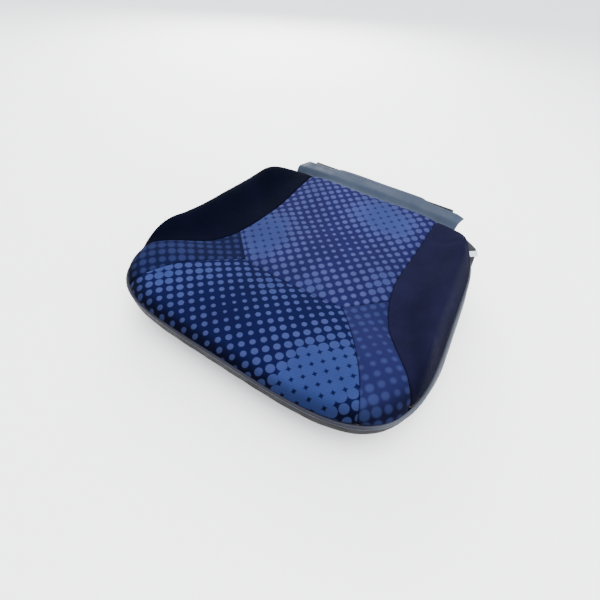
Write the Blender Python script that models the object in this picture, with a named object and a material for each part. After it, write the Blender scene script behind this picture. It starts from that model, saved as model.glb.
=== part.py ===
"""Seat cushion for a vehicle seat: foam pad on a moulded pan, in a sewn cover with a rear tie flap.

Units are metres. X points to the sitter's right, the front edge is at -Y and Z is up. The origin is the
middle of the pan's underside. Every ring of the cushion is the same outline, drawn in towards the middle.
"""

import math

import bmesh
import bpy
from mathutils import Matrix, Vector

# ---- driving sizes -------------------------------------------------------------------------------
HALF_WIDTH = 0.246          # half of the cushion's width at its middle
TAPER = 0.09                # the cushion is this much narrower per metre towards the rear
FRONT_REACH = 0.229         # origin to the front edge
REAR_REACH = 0.245          # origin to where the outline would close behind the rear cut
REAR_CUT = 0.225            # the cover's straight rear edge
SIDE_POWER = 4.4            # how square the outline's corners are, seen along X
FRONT_POWER = 3.5           # and along Y, at the front
REAR_POWER = 5.9            # and along Y, at the rear

SEAT_LEVEL = 0.080          # top of the centre insert above the pan's underside
PIPING_RIM = 0.064          # lower edge of the sewn top, where the piping runs
DISH = 0.15                 # the insert rises by this times x squared
REAR_RISE = 0.014           # the top rises to the rear edge
FRONT_DROP = 0.007          # the pull of the front cross seam
THIGH_RISE = 0.007          # crown of the front panel
BOLSTER_RISE = 0.030        # crown of the side bolsters
BOLSTER_REAR_ROUND = 0.100  # the crown comes down over this length to the rear edge
BOLSTER_REAR_KEEP = 0.15    # share of that length at which the rear edge cuts it off
BOLSTER_LEAN = 1.80         # over 1, the crown lies nearer to the outer edge
BOLSTER_FULL = 0.095        # a bolster narrower than this has less crown
CORNER_RISE = 0.013         # the foam is fuller by this at each front corner
CORNER_PLACE = (0.215, -0.115)  # the middle of that fullness, right of and in front of the middle
CORNER_REACH = 0.060
SHOULDER = 0.026            # width of the rounded edge, from the rim to the level top

COVER = 0.003               # cover fabric with its backing foam
GAP = 0.0003                # between pieces that touch
PIPING_RADIUS = 0.002
BAND = 0.0025               # border vinyl with its backing
BAND_TURN = 0.045           # height at which the border turns under

BOLSTER_SEAM = 0.1365       # the bolster seam's distance from the middle, along its straight rear run
SEAM_FLARE_START = 0.070    # where the bolster seam starts to flare outwards
SEAM_FLARE = 3.04           # metres of flare per metre to the power below
SEAM_FLARE_POWER = 2.2
CROSS_SEAM = -0.056         # the seam across the top of the front panel, at its ends
CROSS_HALF = 0.093          # its half length
CROSS_BOW = 0.004           # its middle lies this much further forward
PANEL_SPREAD = 0.92         # the front panel's side seams: x grows by this times the way forward
PANEL_CURL = 1.5            # less this times its square
CORNER_SEAM = -0.006        # where the front corner panels' rear seams meet the bolster seams
BOLSTER_FRONT = -0.175      # where the bolster seams run out over the front corners

PAN_FLANGE_INSET = 0.0488   # outline to the edge of the pan's flange
PAN_FLANGE = 0.0152         # the flange's width
PAN_HEIGHT = 0.0187
PAN_WALL = 0.003
PAN_DRAFT = 0.005           # the pan wall leans in by this much to its floor
RETAINER = 0.0015           # wall of the plastic J profiles
RETAINER_LIP = 0.009        # how far their lip reaches under the flange

INSERT_X = 0.110            # threaded inserts in the pan
INSERT_Y = 0.120
INSERT_RADIUS = 0.007
INSERT_HEIGHT = 0.009
BOSS_WALL = 0.004
THREAD_HOLE = 0.0034
VENT_RADIUS = 0.008
VENT_OUT = 0.030            # the vents lie this much further out than the bushes
VENT_PITCH = 0.060
BEAD_DEPTH = 0.0012         # stiffening beads pressed into the pan's underside
BEAD_HALF_WIDTH = 0.006
REST_PAD = 0.030            # half width of the flat left between the beads in the middle of the pan
CROSS_BEAD = 0.072          # the short beads' distance from the middle

TRENCH_HALF = 0.0052        # tie-down trenches in the foam
TRENCH_DEPTH = 0.0229
TRENCH_FRONT = -0.085       # the side trenches run forward to here
TRENCH_REAR = 0.030         # and start this far from the rear edge
TRENCH_SHORT = 0.010        # the front trench stops this far inside the front panel's corners
LISTING_DEPTH = 0.0080      # listing wire below the foam's top
LISTING_RADIUS = 0.001
SLEEVE_RADIUS = 0.0024
ANCHOR_DEPTH = 0.0184       # moulded-in wire below the foam's top
ANCHOR_RADIUS = 0.00125
RING_WIRE = 0.0008
RING_HALF = 0.0038          # half width of a hog ring, to its wire's middle
RING_DROP = 0.0092          # between the middles of its two round ends
SIDE_RING_SPOTS = (-0.05, 0.03, 0.11, 0.18)
FRONT_RING_SPOTS = (-0.06, 0.0, 0.06)

FLAP_HALF = 0.170           # rear flap
FLAP_LENGTH = 0.036
FLAP_THICK = 0.0025
FLAP_BULGE = 0.004          # its middle stands up by this much
FLAP_TILT = math.radians(16)
FLAP_HINGE_Y = REAR_CUT + 0.0018
FLAP_HINGE_Z = 0.0930
STRIP_HALF = 0.152          # black hook strip under the flap's free edge
STRIP_WIDTH = 0.011
STRIP_THICK = 0.003
STRIP_OVERHANG = 0.003

TAB_SETBACK = 0.0245        # the corner tab's seam runs this far forward from the rear cut
TAB_CLEAR = 0.0027          # its lower end clears the border by this much
TAB_TOP_CLEAR = 0.0097      # and its upper end stands this far out from the cover's rear corner
TAB_RISE = 0.016            # upper end above the piping
TAB_OUT = (0.868, 0.452, 0.206)     # the way the tab stands out
TAB_REACH = 0.020           # how far it stands out
TAB_TAIL = 0.0145           # how far its tip hangs past its seam
TAB_THICK = 0.0012
LABEL_PLACE = 0.028         # care label, down the tab's seam
LABEL_WIDTH = 0.010
LABEL_LENGTH = 0.019
LABEL_THICK = 0.0006

BEYOND = 0.01               # cutters run this far past what they cut
FAR = 0.4                   # and this far past the whole cushion
AROUND = 80                 # steps round the outline; every ring has its corners at the same steps
STEP = 2 * math.pi / AROUND
SCALE_LENGTH = 0.24         # an inset of this much would shrink the outline to a point

# ---- materials -----------------------------------------------------------------------------------
FINISHES = {
    "dotted_fabric": ((0.03, 0.045, 0.22), 0.85, 0.0),
    "navy_fabric": ((0.008, 0.009, 0.03), 0.9, 0.0),
    "grey_vinyl": ((0.13, 0.145, 0.17), 0.55, 0.0),
    "piping_vinyl": ((0.30, 0.31, 0.38), 0.5, 0.0),
    "foam": ((0.72, 0.66, 0.48), 0.95, 0.0),
    "black_plastic": ((0.02, 0.02, 0.022), 0.5, 0.0),
    "steel_wire": ((0.55, 0.55, 0.56), 0.35, 1.0),
    "zinc_steel": ((0.62, 0.60, 0.55), 0.4, 1.0),
    "woven_tape": ((0.19, 0.20, 0.21), 0.9, 0.0),
    "white_label": ((0.75, 0.75, 0.76), 0.8, 0.0),
}


def clear_scene():
    for obj in list(bpy.data.objects):
        bpy.data.objects.remove(obj, do_unlink=True)


def finish(name):
    """The material of this name, made on first use."""
    found = bpy.data.materials.get(name)
    if found:
        return found
    colour, roughness, metallic = FINISHES[name]
    material = bpy.data.materials.new(name)
    material.use_nodes = True
    shader = material.node_tree.nodes["Principled BSDF"]
    shader.inputs["Base Color"].default_value = (*colour, 1.0)
    shader.inputs["Roughness"].default_value = roughness
    shader.inputs["Metallic"].default_value = metallic
    return material


# ---- building helpers ----------------------------------------------------------------------------
def object_from(name, points, faces, material=None, split=False):
    """An object from points and faces, turned outwards. Warped faces are split, so that cuts stay exact."""
    mesh = bpy.data.meshes.new(name)
    mesh.from_pydata([tuple(p) for p in points], [], faces)
    bm = bmesh.new()
    bm.from_mesh(mesh)
    bmesh.ops.recalc_face_normals(bm, faces=bm.faces)
    if split:
        bmesh.ops.triangulate(bm, faces=bm.faces)
    bm.to_mesh(mesh)
    bm.free()
    obj = bpy.data.objects.new(name, mesh)
    bpy.context.scene.collection.objects.link(obj)
    if material:
        mesh.materials.append(finish(material))
    return obj


def smooth(obj, angle=40):
    obj.data.shade_smooth()
    obj.data.set_sharp_from_angle(angle=math.radians(angle))
    return obj


def bridge(first, second, closed=True):
    """Faces between two equal rows of point numbers."""
    count = len(first)
    steps = count if closed else count - 1
    return [(first[i], first[(i + 1) % count], second[(i + 1) % count], second[i]) for i in range(steps)]


def boolean(obj, operation, cutter):
    """Joins or cuts with a helper object, which isn't part of the model."""
    cutter.hide_render = True
    cutter.display_type = "WIRE"
    cut = obj.modifiers.new(cutter.name, "BOOLEAN")
    cut.operation = operation
    cut.object = cutter
    cut.solver = "EXACT"
    return cut


def block(name, low, high):
    """A closed box between two corners."""
    xs, ys, zs = zip(low, high)
    points = [(x, y, z) for z in zs for y in ys for x in xs]
    faces = [(0, 1, 3, 2), (4, 5, 7, 6), (0, 1, 5, 4), (2, 3, 7, 6), (0, 2, 6, 4), (1, 3, 7, 5)]
    return object_from(name, points, faces)


def prism(name, outline, low, high):
    """A closed solid with upright walls over an outline in plan."""
    count = len(outline)
    points = [(x, y, low) for x, y in outline] + [(x, y, high) for x, y in outline]
    floor = list(range(count))
    roof = list(range(count, 2 * count))
    return object_from(name, points, [floor[::-1], roof] + bridge(floor, roof))


def rod(name, centre, radius, low, high, material=None, steps=24):
    """An upright cylinder."""
    outline = [
        (centre[0] + radius * math.cos(a), centre[1] + radius * math.sin(a))
        for a in (2 * math.pi * (i + 0.5) / steps for i in range(steps))
    ]
    obj = prism(name, outline, low, high)
    if material:
        obj.data.materials.append(finish(material))
    return obj


def inset_outline(outline, distance):
    """A closed outline, anticlockwise in plan, with each side moved inwards."""
    moved = []
    for i, point in enumerate(outline):
        here = Vector(point)
        before = (here - Vector(outline[i - 1])).normalized()
        after = (Vector(outline[(i + 1) % len(outline)]) - here).normalized()
        normal = Vector((-before.y - after.y, before.x + after.x)).normalized()
        moved.append(here + normal * distance / max(normal.dot(Vector((-after.y, after.x))), 0.3))
    return [tuple(p) for p in moved]


def offset_profile(profile, distance):
    """An open profile of (inset, height) moved inwards, to the side that the foam lies on."""
    moved = []
    for i, point in enumerate(profile):
        here = Vector(point)
        before = (here - Vector(profile[max(i - 1, 0)])).normalized() if i else None
        after = (Vector(profile[i + 1]) - here).normalized() if i + 1 < len(profile) else None
        before = before or after
        after = after or before
        side = Vector((-before.y - after.y, before.x + after.x)).normalized()
        moved.append(tuple(here + side * distance / side.dot(Vector((-after.y, after.x)))))
    return moved


def ended_at(profile, inset):
    """The profile with its last run ended at this inset."""
    (x0, z0), (x1, z1) = profile[-2:]
    return profile[:-1] + [(inset, z0 + (z1 - z0) * (inset - x0) / (x1 - x0))]


def sweep(name, path, loops, material=None):
    """A solid of constant section along a path. A second loop makes it hollow from end to end."""
    points = []
    rows = []
    for i, here in enumerate(path):
        ahead = (path[min(i + 1, len(path) - 1)] - path[max(i - 1, 0)])
        side = Vector((ahead.y, -ahead.x, 0)).normalized()
        row = []
        for loop in loops:
            row.append(list(range(len(points), len(points) + len(loop))))
            points.extend(here + side * u + Vector((0, 0, v)) for u, v in loop)
        rows.append(row)
    faces = []
    for before, after in zip(rows, rows[1:]):
        for ring_a, ring_b in zip(before, after):
            faces += bridge(ring_a, ring_b)
    for end in (rows[0], rows[-1]):
        faces += bridge(end[0], end[1]) if len(loops) == 2 else [tuple(end[0])]
    return object_from(name, points, faces, material)


def circle(radius, height=0.0, steps=10):
    angles = [2 * math.pi * i / steps for i in range(steps)]
    return [(radius * math.cos(a), height + radius * math.sin(a)) for a in angles]


def tube(name, points, radius, material, closed=False):
    """A round wire or cord along a line of points, as a curve with a bevel."""
    curve = bpy.data.curves.new(name, "CURVE")
    curve.dimensions = "3D"
    curve.bevel_depth = radius
    curve.bevel_resolution = 2
    curve.use_fill_caps = True
    spline = curve.splines.new("POLY")
    spline.points.add(len(points) - 1)
    for spot, point in zip(spline.points, points):
        spot.co = (*point, 1.0)
    spline.use_cyclic_u = closed
    spline.use_smooth = True
    curve.materials.append(finish(material))
    obj = bpy.data.objects.new(name, curve)
    bpy.context.scene.collection.objects.link(obj)
    return obj


# ---- the cushion's form --------------------------------------------------------------------------
def ease(t):
    t = min(max(t, 0.0), 1.0)
    return t * t * (3 - 2 * t)


def outline_gauge(x, y):
    """Under 1 inside the outline, and 1 on it."""
    reach, power = (FRONT_REACH, FRONT_POWER) if y < 0 else (REAR_REACH, REAR_POWER)
    return abs(x / (HALF_WIDTH - TAPER * y)) ** SIDE_POWER + abs(y / reach) ** power


def outline_radius(angle):
    """Distance from the origin to the outline in this direction, found by halving."""
    low, high = 0.1, 0.5
    for _ in range(40):
        middle = (low + high) / 2
        if outline_gauge(middle * math.cos(angle), middle * math.sin(angle)) < 1:
            low = middle
        else:
            high = middle
    return low


def edge_half(y):
    """Half width of the outline at this y."""
    reach, power = (FRONT_REACH, FRONT_POWER) if y < 0 else (REAR_REACH, REAR_POWER)
    return (HALF_WIDTH - TAPER * y) * max(1 - abs(y / reach) ** power, 1e-6) ** (1 / SIDE_POWER)


def ring_point(angle, inset, height):
    """A point of the outline drawn in by an inset, at a height."""
    radius = outline_radius(angle) * (1 - inset / SCALE_LENGTH)
    return Vector((radius * math.cos(angle), radius * math.sin(angle), height))


def bolster_seam(y):
    """The bolster seam's distance from the middle."""
    return BOLSTER_SEAM + SEAM_FLARE * max(SEAM_FLARE_START - y, 0) ** SEAM_FLARE_POWER


def panel_seam(y):
    """The front panel's side seam's distance from the middle."""
    forward = CROSS_SEAM - y
    return CROSS_HALF + PANEL_SPREAD * forward - PANEL_CURL * forward**2


def cross_seam(x):
    """The front panel's rear seam."""
    return CROSS_SEAM - CROSS_BOW * (1 - (x / CROSS_HALF) ** 2)


def level_top(x, y):
    """Height of the cover away from its rounded edge."""
    height = SEAT_LEVEL + DISH * min(abs(x), BOLSTER_SEAM) ** 2
    height += REAR_RISE * ease((y - 0.4 * REAR_CUT) / (0.6 * REAR_CUT))
    height -= FRONT_DROP * ease((-CROSS_SEAM - y) / (-2 * CROSS_SEAM))
    if y < CROSS_SEAM:
        height += THIGH_RISE * math.sin(math.pi * (CROSS_SEAM - y) / (CROSS_SEAM + FRONT_REACH))
    seam = bolster_seam(y)
    edge = edge_half(y)
    if seam < abs(x) < edge:
        across = ((abs(x) - seam) / (edge - seam)) ** BOLSTER_LEAN
        crown = BOLSTER_RISE * ease((REAR_CUT - y) / BOLSTER_REAR_ROUND + BOLSTER_REAR_KEEP)
        crown *= ease((edge - seam) / BOLSTER_FULL)
        height += crown * (1 - math.cos(2 * math.pi * across)) / 2
    away = math.hypot(abs(x) - CORNER_PLACE[0], y - CORNER_PLACE[1]) / CORNER_REACH
    return height + CORNER_RISE * math.exp(-away * away)


def top_point(angle, inset, skin):
    """A point of the sewn top, or of a surface this far under it."""
    outer = ring_point(angle, inset, 0)
    rise = math.sqrt(1 - (1 - min(inset / SHOULDER, 1)) ** 2)
    height = PIPING_RIM + (level_top(outer.x, outer.y) - PIPING_RIM - skin) * rise
    radius = (outline_radius(angle) - skin) * (1 - inset / SCALE_LENGTH)
    return Vector((radius * math.cos(angle), radius * math.sin(angle), height))


def foam_top(x, y):
    return level_top(x, y) - COVER - GAP


SHOULDER_STEPS = [SHOULDER * (1 - math.cos(math.pi / 2 * i / 5)) for i in range(6)]
LEVEL_STEPS = [SHOULDER + (SCALE_LENGTH - SHOULDER) * (i / 8) ** 1.15 for i in range(1, 8)]
TOP_INSETS = SHOULDER_STEPS + LEVEL_STEPS
ANGLES = [STEP * i for i in range(AROUND)]


def stacked(name, rows, material):
    """A closed solid from rings of points; a row of one point is a pole."""
    points = []
    numbers = []
    for row in rows:
        numbers.append(list(range(len(points), len(points) + len(row))))
        points.extend(row)
    faces = []
    for before, after in zip(numbers, numbers[1:]):
        if len(before) == 1:
            faces += [(before[0], after[i], after[(i + 1) % AROUND]) for i in range(AROUND)]
        elif len(after) == 1:
            faces += [(before[(i + 1) % AROUND], before[i], after[0]) for i in range(AROUND)]
        else:
            faces += bridge(before, after)
    return object_from(name, points, faces, material, split=True)


def top_rows(skin):
    """Rings of the sewn top from its rim to its middle, this far under the outside."""
    rows = [[top_point(a, inset, skin) for a in ANGLES] for inset in TOP_INSETS]
    rows.append([Vector((0, 0, level_top(0, 0) - skin))])
    return rows


def round_band(name, section, first, last, material, trim=0.0):
    """A closed section of (inset, height) carried round the outline between two steps."""
    points = []
    rows = []
    angles = [STEP * i for i in range(first, last + 1)]
    angles[0] += trim
    angles[-1] -= trim
    for angle in angles:
        rows.append(list(range(len(points), len(points) + len(section))))
        points.extend(ring_point(angle, inset, height) for inset, height in section)
    faces = [tuple(rows[0]), tuple(rows[-1][::-1])]
    for before, after in zip(rows, rows[1:]):
        faces += bridge(before, after)
    return smooth(object_from(name, points, faces, material), 30)


# ---- pan -----------------------------------------------------------------------------------------
FLANGE_INNER = PAN_FLANGE_INSET + PAN_FLANGE
WALL_RUN = PAN_WALL + 0.0005


def seat_pan():
    """Moulded tray with a flange, four bosses, vents and pressed beads."""
    flange_low = PAN_HEIGHT - PAN_WALL
    section = [
        (FLANGE_INNER + PAN_DRAFT, PAN_WALL),
        (FLANGE_INNER, PAN_HEIGHT),
        (PAN_FLANGE_INSET, PAN_HEIGHT),
        (PAN_FLANGE_INSET, flange_low),
        (FLANGE_INNER - WALL_RUN, flange_low),
        (FLANGE_INNER + PAN_DRAFT - WALL_RUN, 0.0),
    ]
    rows = [[Vector((0, 0, PAN_WALL))]]
    rows += [[ring_point(a, inset, height) for a in ANGLES] for inset, height in section]
    rows += [[Vector((0, 0, 0))]]
    pan = stacked("seat_pan", rows, "black_plastic")
    for number, (x, y) in enumerate(insert_spots(), 1):
        boss = rod(f"boss_{number}", (x, y), INSERT_RADIUS + BOSS_WALL, PAN_WALL / 2, INSERT_HEIGHT + PAN_WALL)
        boolean(pan, "UNION", boss)
        bore = rod(f"boss_bore_{number}", (x, y), INSERT_RADIUS + GAP, -BEYOND, INSERT_HEIGHT + GAP)
        boolean(pan, "DIFFERENCE", bore)
    for number, (x, y) in enumerate(vent_spots(), 1):
        boolean(pan, "DIFFERENCE", rod(f"vent_{number}", (x, y), VENT_RADIUS, -BEYOND, PAN_HEIGHT))
    for side in (-1, 1):
        middle = side * (REST_PAD + INSERT_X - INSERT_RADIUS - BOSS_WALL) / 2
        bead = block(
            f"bead_{side}",
            (middle - BEAD_HALF_WIDTH, -INSERT_Y, -BEYOND),
            (middle + BEAD_HALF_WIDTH, INSERT_Y, BEAD_DEPTH),
        )
        boolean(pan, "DIFFERENCE", bead)
    for side in (-1, 1):
        bead = block(
            f"cross_bead_{side}",
            (-REST_PAD, side * CROSS_BEAD - BEAD_HALF_WIDTH, -BEYOND),
            (REST_PAD, side * CROSS_BEAD + BEAD_HALF_WIDTH, BEAD_DEPTH),
        )
        boolean(pan, "DIFFERENCE", bead)
    return smooth(pan, 30)


def insert_spots():
    return [(x, y) for y in (-INSERT_Y, INSERT_Y) for x in (-INSERT_X, INSERT_X)]


def vent_spots():
    """Three vents on each side, clear of the bosses and the beads."""
    return [(side * (INSERT_X + VENT_OUT), row * VENT_PITCH) for side in (-1, 1) for row in (-1, 0, 1)]


def pan_inserts():
    """Threaded steel bushes pressed into the pan's bosses."""
    for number, (x, y) in enumerate(insert_spots(), 1):
        bush = rod(f"pan_insert_{number}", (x, y), INSERT_RADIUS, 0.0, INSERT_HEIGHT, "zinc_steel")
        hole = rod(f"thread_{number}", (x, y), THREAD_HOLE, -BEYOND, INSERT_HEIGHT - PAN_WALL / 2)
        boolean(bush, "DIFFERENCE", hole)
        smooth(bush, 30)


# ---- border, piping and retainers ----------------------------------------------------------------
PIPING_HEIGHT = PIPING_RIM - GAP - PIPING_RADIUS
PIPING_INSET = COVER - PIPING_RADIUS   # its inner side lies level with the cover's
BAND_TOP = PIPING_HEIGHT - PIPING_RADIUS - GAP
BAND_END = PAN_FLANGE_INSET - GAP - RETAINER - GAP
TURN_IN = 0.009             # the border's rounded lower edge, inwards
TURN_DOWN = 0.0075          # and downwards
CORNER_STEP = -7            # the border's front joints, in steps from the +X side
REAR_STEP = 11              # its rear ends
HALF_TURN = AROUND // 2


def border_outside():
    """The border's outer profile, from the piping down and in to the retainer."""
    foot = BAND_TURN - TURN_DOWN
    end = PAN_HEIGHT - PAN_WALL
    return [
        (0.0, BAND_TOP),
        (0.0, BAND_TURN),
        (TURN_IN / 3, BAND_TURN - TURN_DOWN * 0.6),
        (TURN_IN, foot),
        (BAND_END, end),
    ]


def borders():
    """The vinyl band round the front and the sides, in three lengths."""
    outside = border_outside()
    inside = ended_at(offset_profile(outside, BAND), BAND_END)
    section = outside + inside[::-1]
    seam = GAP / HALF_WIDTH
    round_band("border_front", section, -HALF_TURN - CORNER_STEP, CORNER_STEP, "grey_vinyl", seam)
    round_band("border_right", section, CORNER_STEP, REAR_STEP, "grey_vinyl")
    round_band("border_left", section, HALF_TURN - REAR_STEP, HALF_TURN - CORNER_STEP, "grey_vinyl")


def piping():
    angles = [STEP * i for i in range(-HALF_TURN - REAR_STEP, REAR_STEP + 1)]
    reaches = [outline_radius(angle) - PIPING_INSET for angle in angles]
    path = [Vector((r * math.cos(a), r * math.sin(a), PIPING_HEIGHT)) for a, r in zip(angles, reaches)]
    return tube("edge_piping", path, PIPING_RADIUS, "piping_vinyl")


def retainers():
    """J profiles sewn to the border's hem, hooked round the edge of the pan's flange."""
    outer = PAN_FLANGE_INSET - GAP - RETAINER
    lip_top = PAN_HEIGHT - PAN_WALL - GAP
    section = [
        (outer, PAN_HEIGHT),
        (outer + RETAINER, PAN_HEIGHT),
        (outer + RETAINER, lip_top),
        (outer + RETAINER_LIP, lip_top),
        (outer + RETAINER_LIP, lip_top - RETAINER),
        (outer, lip_top - RETAINER),
    ]
    middle = -AROUND // 4
    round_band("retainer_front", section, middle - 8, middle + 8, "black_plastic")
    round_band("retainer_right", section, -6, 8, "black_plastic")
    round_band("retainer_left", section, HALF_TURN - 8, HALF_TURN + 6, "black_plastic")


# ---- foam ----------------------------------------------------------------------------------------
def seam_paths():
    """The three tie-down lines in plan: name, and points on the foam's top."""
    steps = 14
    front_end = TRENCH_FRONT
    rear_end = REAR_CUT - TRENCH_REAR
    paths = {}
    for name, side in (("right", 1), ("left", -1)):
        line = []
        for i in range(steps + 1):
            y = rear_end + (front_end - rear_end) * i / steps
            x = side * bolster_seam(y)
            line.append(Vector((x, y, foam_top(x, y))))
        paths[name] = line
    reach = CROSS_HALF - TRENCH_SHORT
    xs = [reach * (2 * i / steps - 1) for i in range(steps + 1)]
    paths["front"] = [Vector((x, cross_seam(x), foam_top(x, cross_seam(x)))) for x in xs]
    return paths


def longer(path, extra):
    """The path with both of its ends drawn out."""
    start = path[0] + (path[0] - path[1]).normalized() * extra
    end = path[-1] + (path[-1] - path[-2]).normalized() * extra
    return [start] + path[1:-1] + [end]


def foam_pad():
    """Moulded pad: dished top, edges that overhang the pan, trenches for the tie-downs."""
    skin = COVER + GAP
    under = ended_at(offset_profile(border_outside(), BAND + GAP), BAND_END)
    ledge = PAN_HEIGHT + GAP
    rows = top_rows(skin)[::-1]
    side = [(skin, BAND_TURN)] + under[2:]
    side += [
        (PAN_FLANGE_INSET, max(ledge, under[-1][1])),
        (FLANGE_INNER + GAP, ledge),
        (FLANGE_INNER + PAN_DRAFT + GAP, PAN_WALL + GAP),
    ]
    rows += [[ring_point(a, inset, height) for a in ANGLES] for inset, height in side]
    rows.append([Vector((0, 0, PAN_WALL + GAP))])
    foam = stacked("foam_pad", rows, "foam")
    rear = block("foam_rear_cut", (-FAR, REAR_CUT - COVER - GAP, -FAR), (FAR, FAR, FAR))
    boolean(foam, "DIFFERENCE", rear)
    low, high = -TRENCH_DEPTH, 2 * BEYOND
    box = [(-TRENCH_HALF, low), (TRENCH_HALF, low), (TRENCH_HALF, high), (-TRENCH_HALF, high)]
    for name, path in seam_paths().items():
        boolean(foam, "DIFFERENCE", sweep(f"trench_{name}", longer(path, 0.004), [box]))
    for number, (x, y) in enumerate(insert_spots(), 1):
        top = INSERT_HEIGHT + PAN_WALL + GAP
        pocket = rod(f"boss_pocket_{number}", (x, y), INSERT_RADIUS + BOSS_WALL + GAP, -BEYOND, top)
        boolean(foam, "DIFFERENCE", pocket)
    return smooth(foam, 35)


def tie_downs():
    """Listing wires in their sleeves, moulded-in anchor wires, and the rings that hold them together."""
    for name, path in seam_paths().items():
        sleeve_path = [p - Vector((0, 0, LISTING_DEPTH)) for p in path]
        anchor_path = [p - Vector((0, 0, ANCHOR_DEPTH)) for p in path]
        tube(f"listing_wire_{name}", longer(sleeve_path, 0.003), LISTING_RADIUS, "steel_wire")
        tube(f"anchor_wire_{name}", longer(anchor_path, 0.003), ANCHOR_RADIUS, "steel_wire")
        loops = [circle(SLEEVE_RADIUS), circle(LISTING_RADIUS + GAP)]
        smooth(sweep(f"listing_sleeve_{name}", sleeve_path, loops, "woven_tape"))
    for name, side in (("right", 1), ("left", -1)):
        for number, y in enumerate(SIDE_RING_SPOTS, 1):
            step = 0.001
            ahead = Vector((side * (bolster_seam(y + step) - bolster_seam(y - step)), 2 * step, 0))
            x = side * bolster_seam(y)
            hog_ring(f"hog_ring_{name}_{number}", Vector((x, y, foam_top(x, y))), ahead)
    for number, x in enumerate(FRONT_RING_SPOTS, 1):
        y = cross_seam(x)
        hog_ring(f"hog_ring_front_{number}", Vector((x, y, foam_top(x, y))), Vector((1, 0, 0)))


def hog_ring(name, spot, ahead):
    """A closed steel staple with straight sides, square to the wires that it holds."""
    side = Vector((ahead.y, -ahead.x, 0)).normalized()
    turn = 8
    line = []
    for end, drop in ((0, 0.0), (1, RING_DROP)):
        for i in range(turn + 1):
            angle = math.pi * (end + i / turn)
            across = side * (RING_HALF * math.cos(angle))
            line.append(spot + across + Vector((0, 0, RING_HALF * math.sin(angle) - drop - LISTING_DEPTH)))
    return tube(name, line, RING_WIRE, "zinc_steel", closed=True)


# ---- cover panels --------------------------------------------------------------------------------
def seam_points(line, start, end, steps):
    """Points (line(y), y) down a seam."""
    return [(line(start + (end - start) * i / steps), start + (end - start) * i / steps) for i in range(steps + 1)]


def mirrored(outline):
    return [(-x, y) for x, y in outline[::-1]]


def panel_outlines():
    """Plan outlines of the six panels, anticlockwise, with the seams between them as shared edges."""
    front_end = -FRONT_REACH - 3 * BEYOND
    side_top = seam_points(bolster_seam, FAR, CORNER_SEAM, 14)
    side_low = seam_points(bolster_seam, CORNER_SEAM, BOLSTER_FRONT, 12)
    front_side = seam_points(panel_seam, CROSS_SEAM, front_end, 10)
    steps = 8
    cross_line = [CROSS_HALF * (1 - 2 * i / steps) for i in range(steps + 1)]
    cross = [(x, cross_seam(x)) for x in cross_line]
    centre = [(-x, y) for x, y in side_top] + cross[::-1] + side_top[::-1]
    front = cross + [(-x, y) for x, y in front_side[1:]] + front_side[:0:-1]
    right_corner = front_side + [(FAR, front_end)] + side_low[::-1]
    right_bolster = side_top + side_low[1:] + [(FAR, BOLSTER_FRONT), (FAR, FAR)]
    return {
        "centre_insert": centre,
        "front_insert": front,
        "front_corner_right": right_corner,
        "front_corner_left": mirrored(right_corner),
        "bolster_right": right_bolster,
        "bolster_left": mirrored(right_bolster),
    }


def cover_panels():
    """Each panel is the cover's shell inside its own outline."""
    rear = block("cover_rear_cut", (-FAR, REAR_CUT, -FAR), (FAR, FAR, FAR))
    for name, outline in panel_outlines().items():
        rows = top_rows(0.0)[::-1] + top_rows(COVER)
        kind = "navy_fabric" if name.startswith("bolster") else "dotted_fabric"
        panel = stacked(name, rows, kind)
        shape = prism(f"{name}_outline", inset_outline(outline, GAP / 2), PIPING_RIM / 2, FAR)
        boolean(panel, "INTERSECT", shape)
        boolean(panel, "DIFFERENCE", rear)
        smooth(panel, 50)


# ---- rear flap, tabs and label -------------------------------------------------------------------
def pivot(name, place):
    """An empty on a hinge line, which carries what turns on it."""
    empty = bpy.data.objects.new(name, None)
    empty.location = place
    bpy.context.scene.collection.objects.link(empty)
    return empty


def rear_flap():
    """Tie flap sewn to the cover's rear edge, with a hook strip under its free edge."""
    hinge = pivot("rear_flap_hinge", (0, FLAP_HINGE_Y, FLAP_HINGE_Z))
    hinge.rotation_euler = (FLAP_TILT, 0, 0)
    across, along = 16, 4
    points = []
    for face in (FLAP_THICK / 2, -FLAP_THICK / 2):
        for j in range(along + 1):
            for i in range(across + 1):
                u = 2 * i / across - 1
                v = j / along
                bulge = FLAP_BULGE * math.cos(math.pi * u / 2) * math.sin(math.pi * v / 2)
                points.append((u * FLAP_HALF, v * FLAP_LENGTH, face + bulge))
    row = across + 1
    lower = row * (along + 1)
    faces = []
    for j in range(along):
        for i in range(across):
            a = j * row + i
            faces.append((a, a + 1, a + row + 1, a + row))
            faces.append((a + lower, a + row + lower, a + row + 1 + lower, a + 1 + lower))
    rim = list(range(across)) + [j * row + across for j in range(along)]
    rim += [along * row + i for i in range(across, 0, -1)] + [j * row for j in range(along, 0, -1)]
    faces += bridge(rim, [number + lower for number in rim])
    flap = object_from("rear_flap", points, faces, "grey_vinyl")
    flap.parent = hinge
    smooth(flap, 40)
    top = -FLAP_THICK / 2 - GAP
    strip = object_from("flap_retainer", *strip_shape(top), "black_plastic")
    strip.parent = hinge
    return flap


def strip_shape(top):
    """Hook strip: a flat bar with a barb along its free edge."""
    end = FLAP_LENGTH + STRIP_OVERHANG
    section = [
        (end - STRIP_WIDTH, top),
        (end, top),
        (end, top - STRIP_THICK),
        (end - 0.003, top - STRIP_THICK),
        (end - 0.003, top - STRIP_THICK / 2),
        (end - STRIP_WIDTH, top - STRIP_THICK / 2),
    ]
    count = len(section)
    points = [(x, y, z) for x in (-STRIP_HALF, STRIP_HALF) for y, z in section]
    near = list(range(count))
    far = list(range(count, 2 * count))
    return points, [near, far[::-1]] + bridge(near, far)


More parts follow.
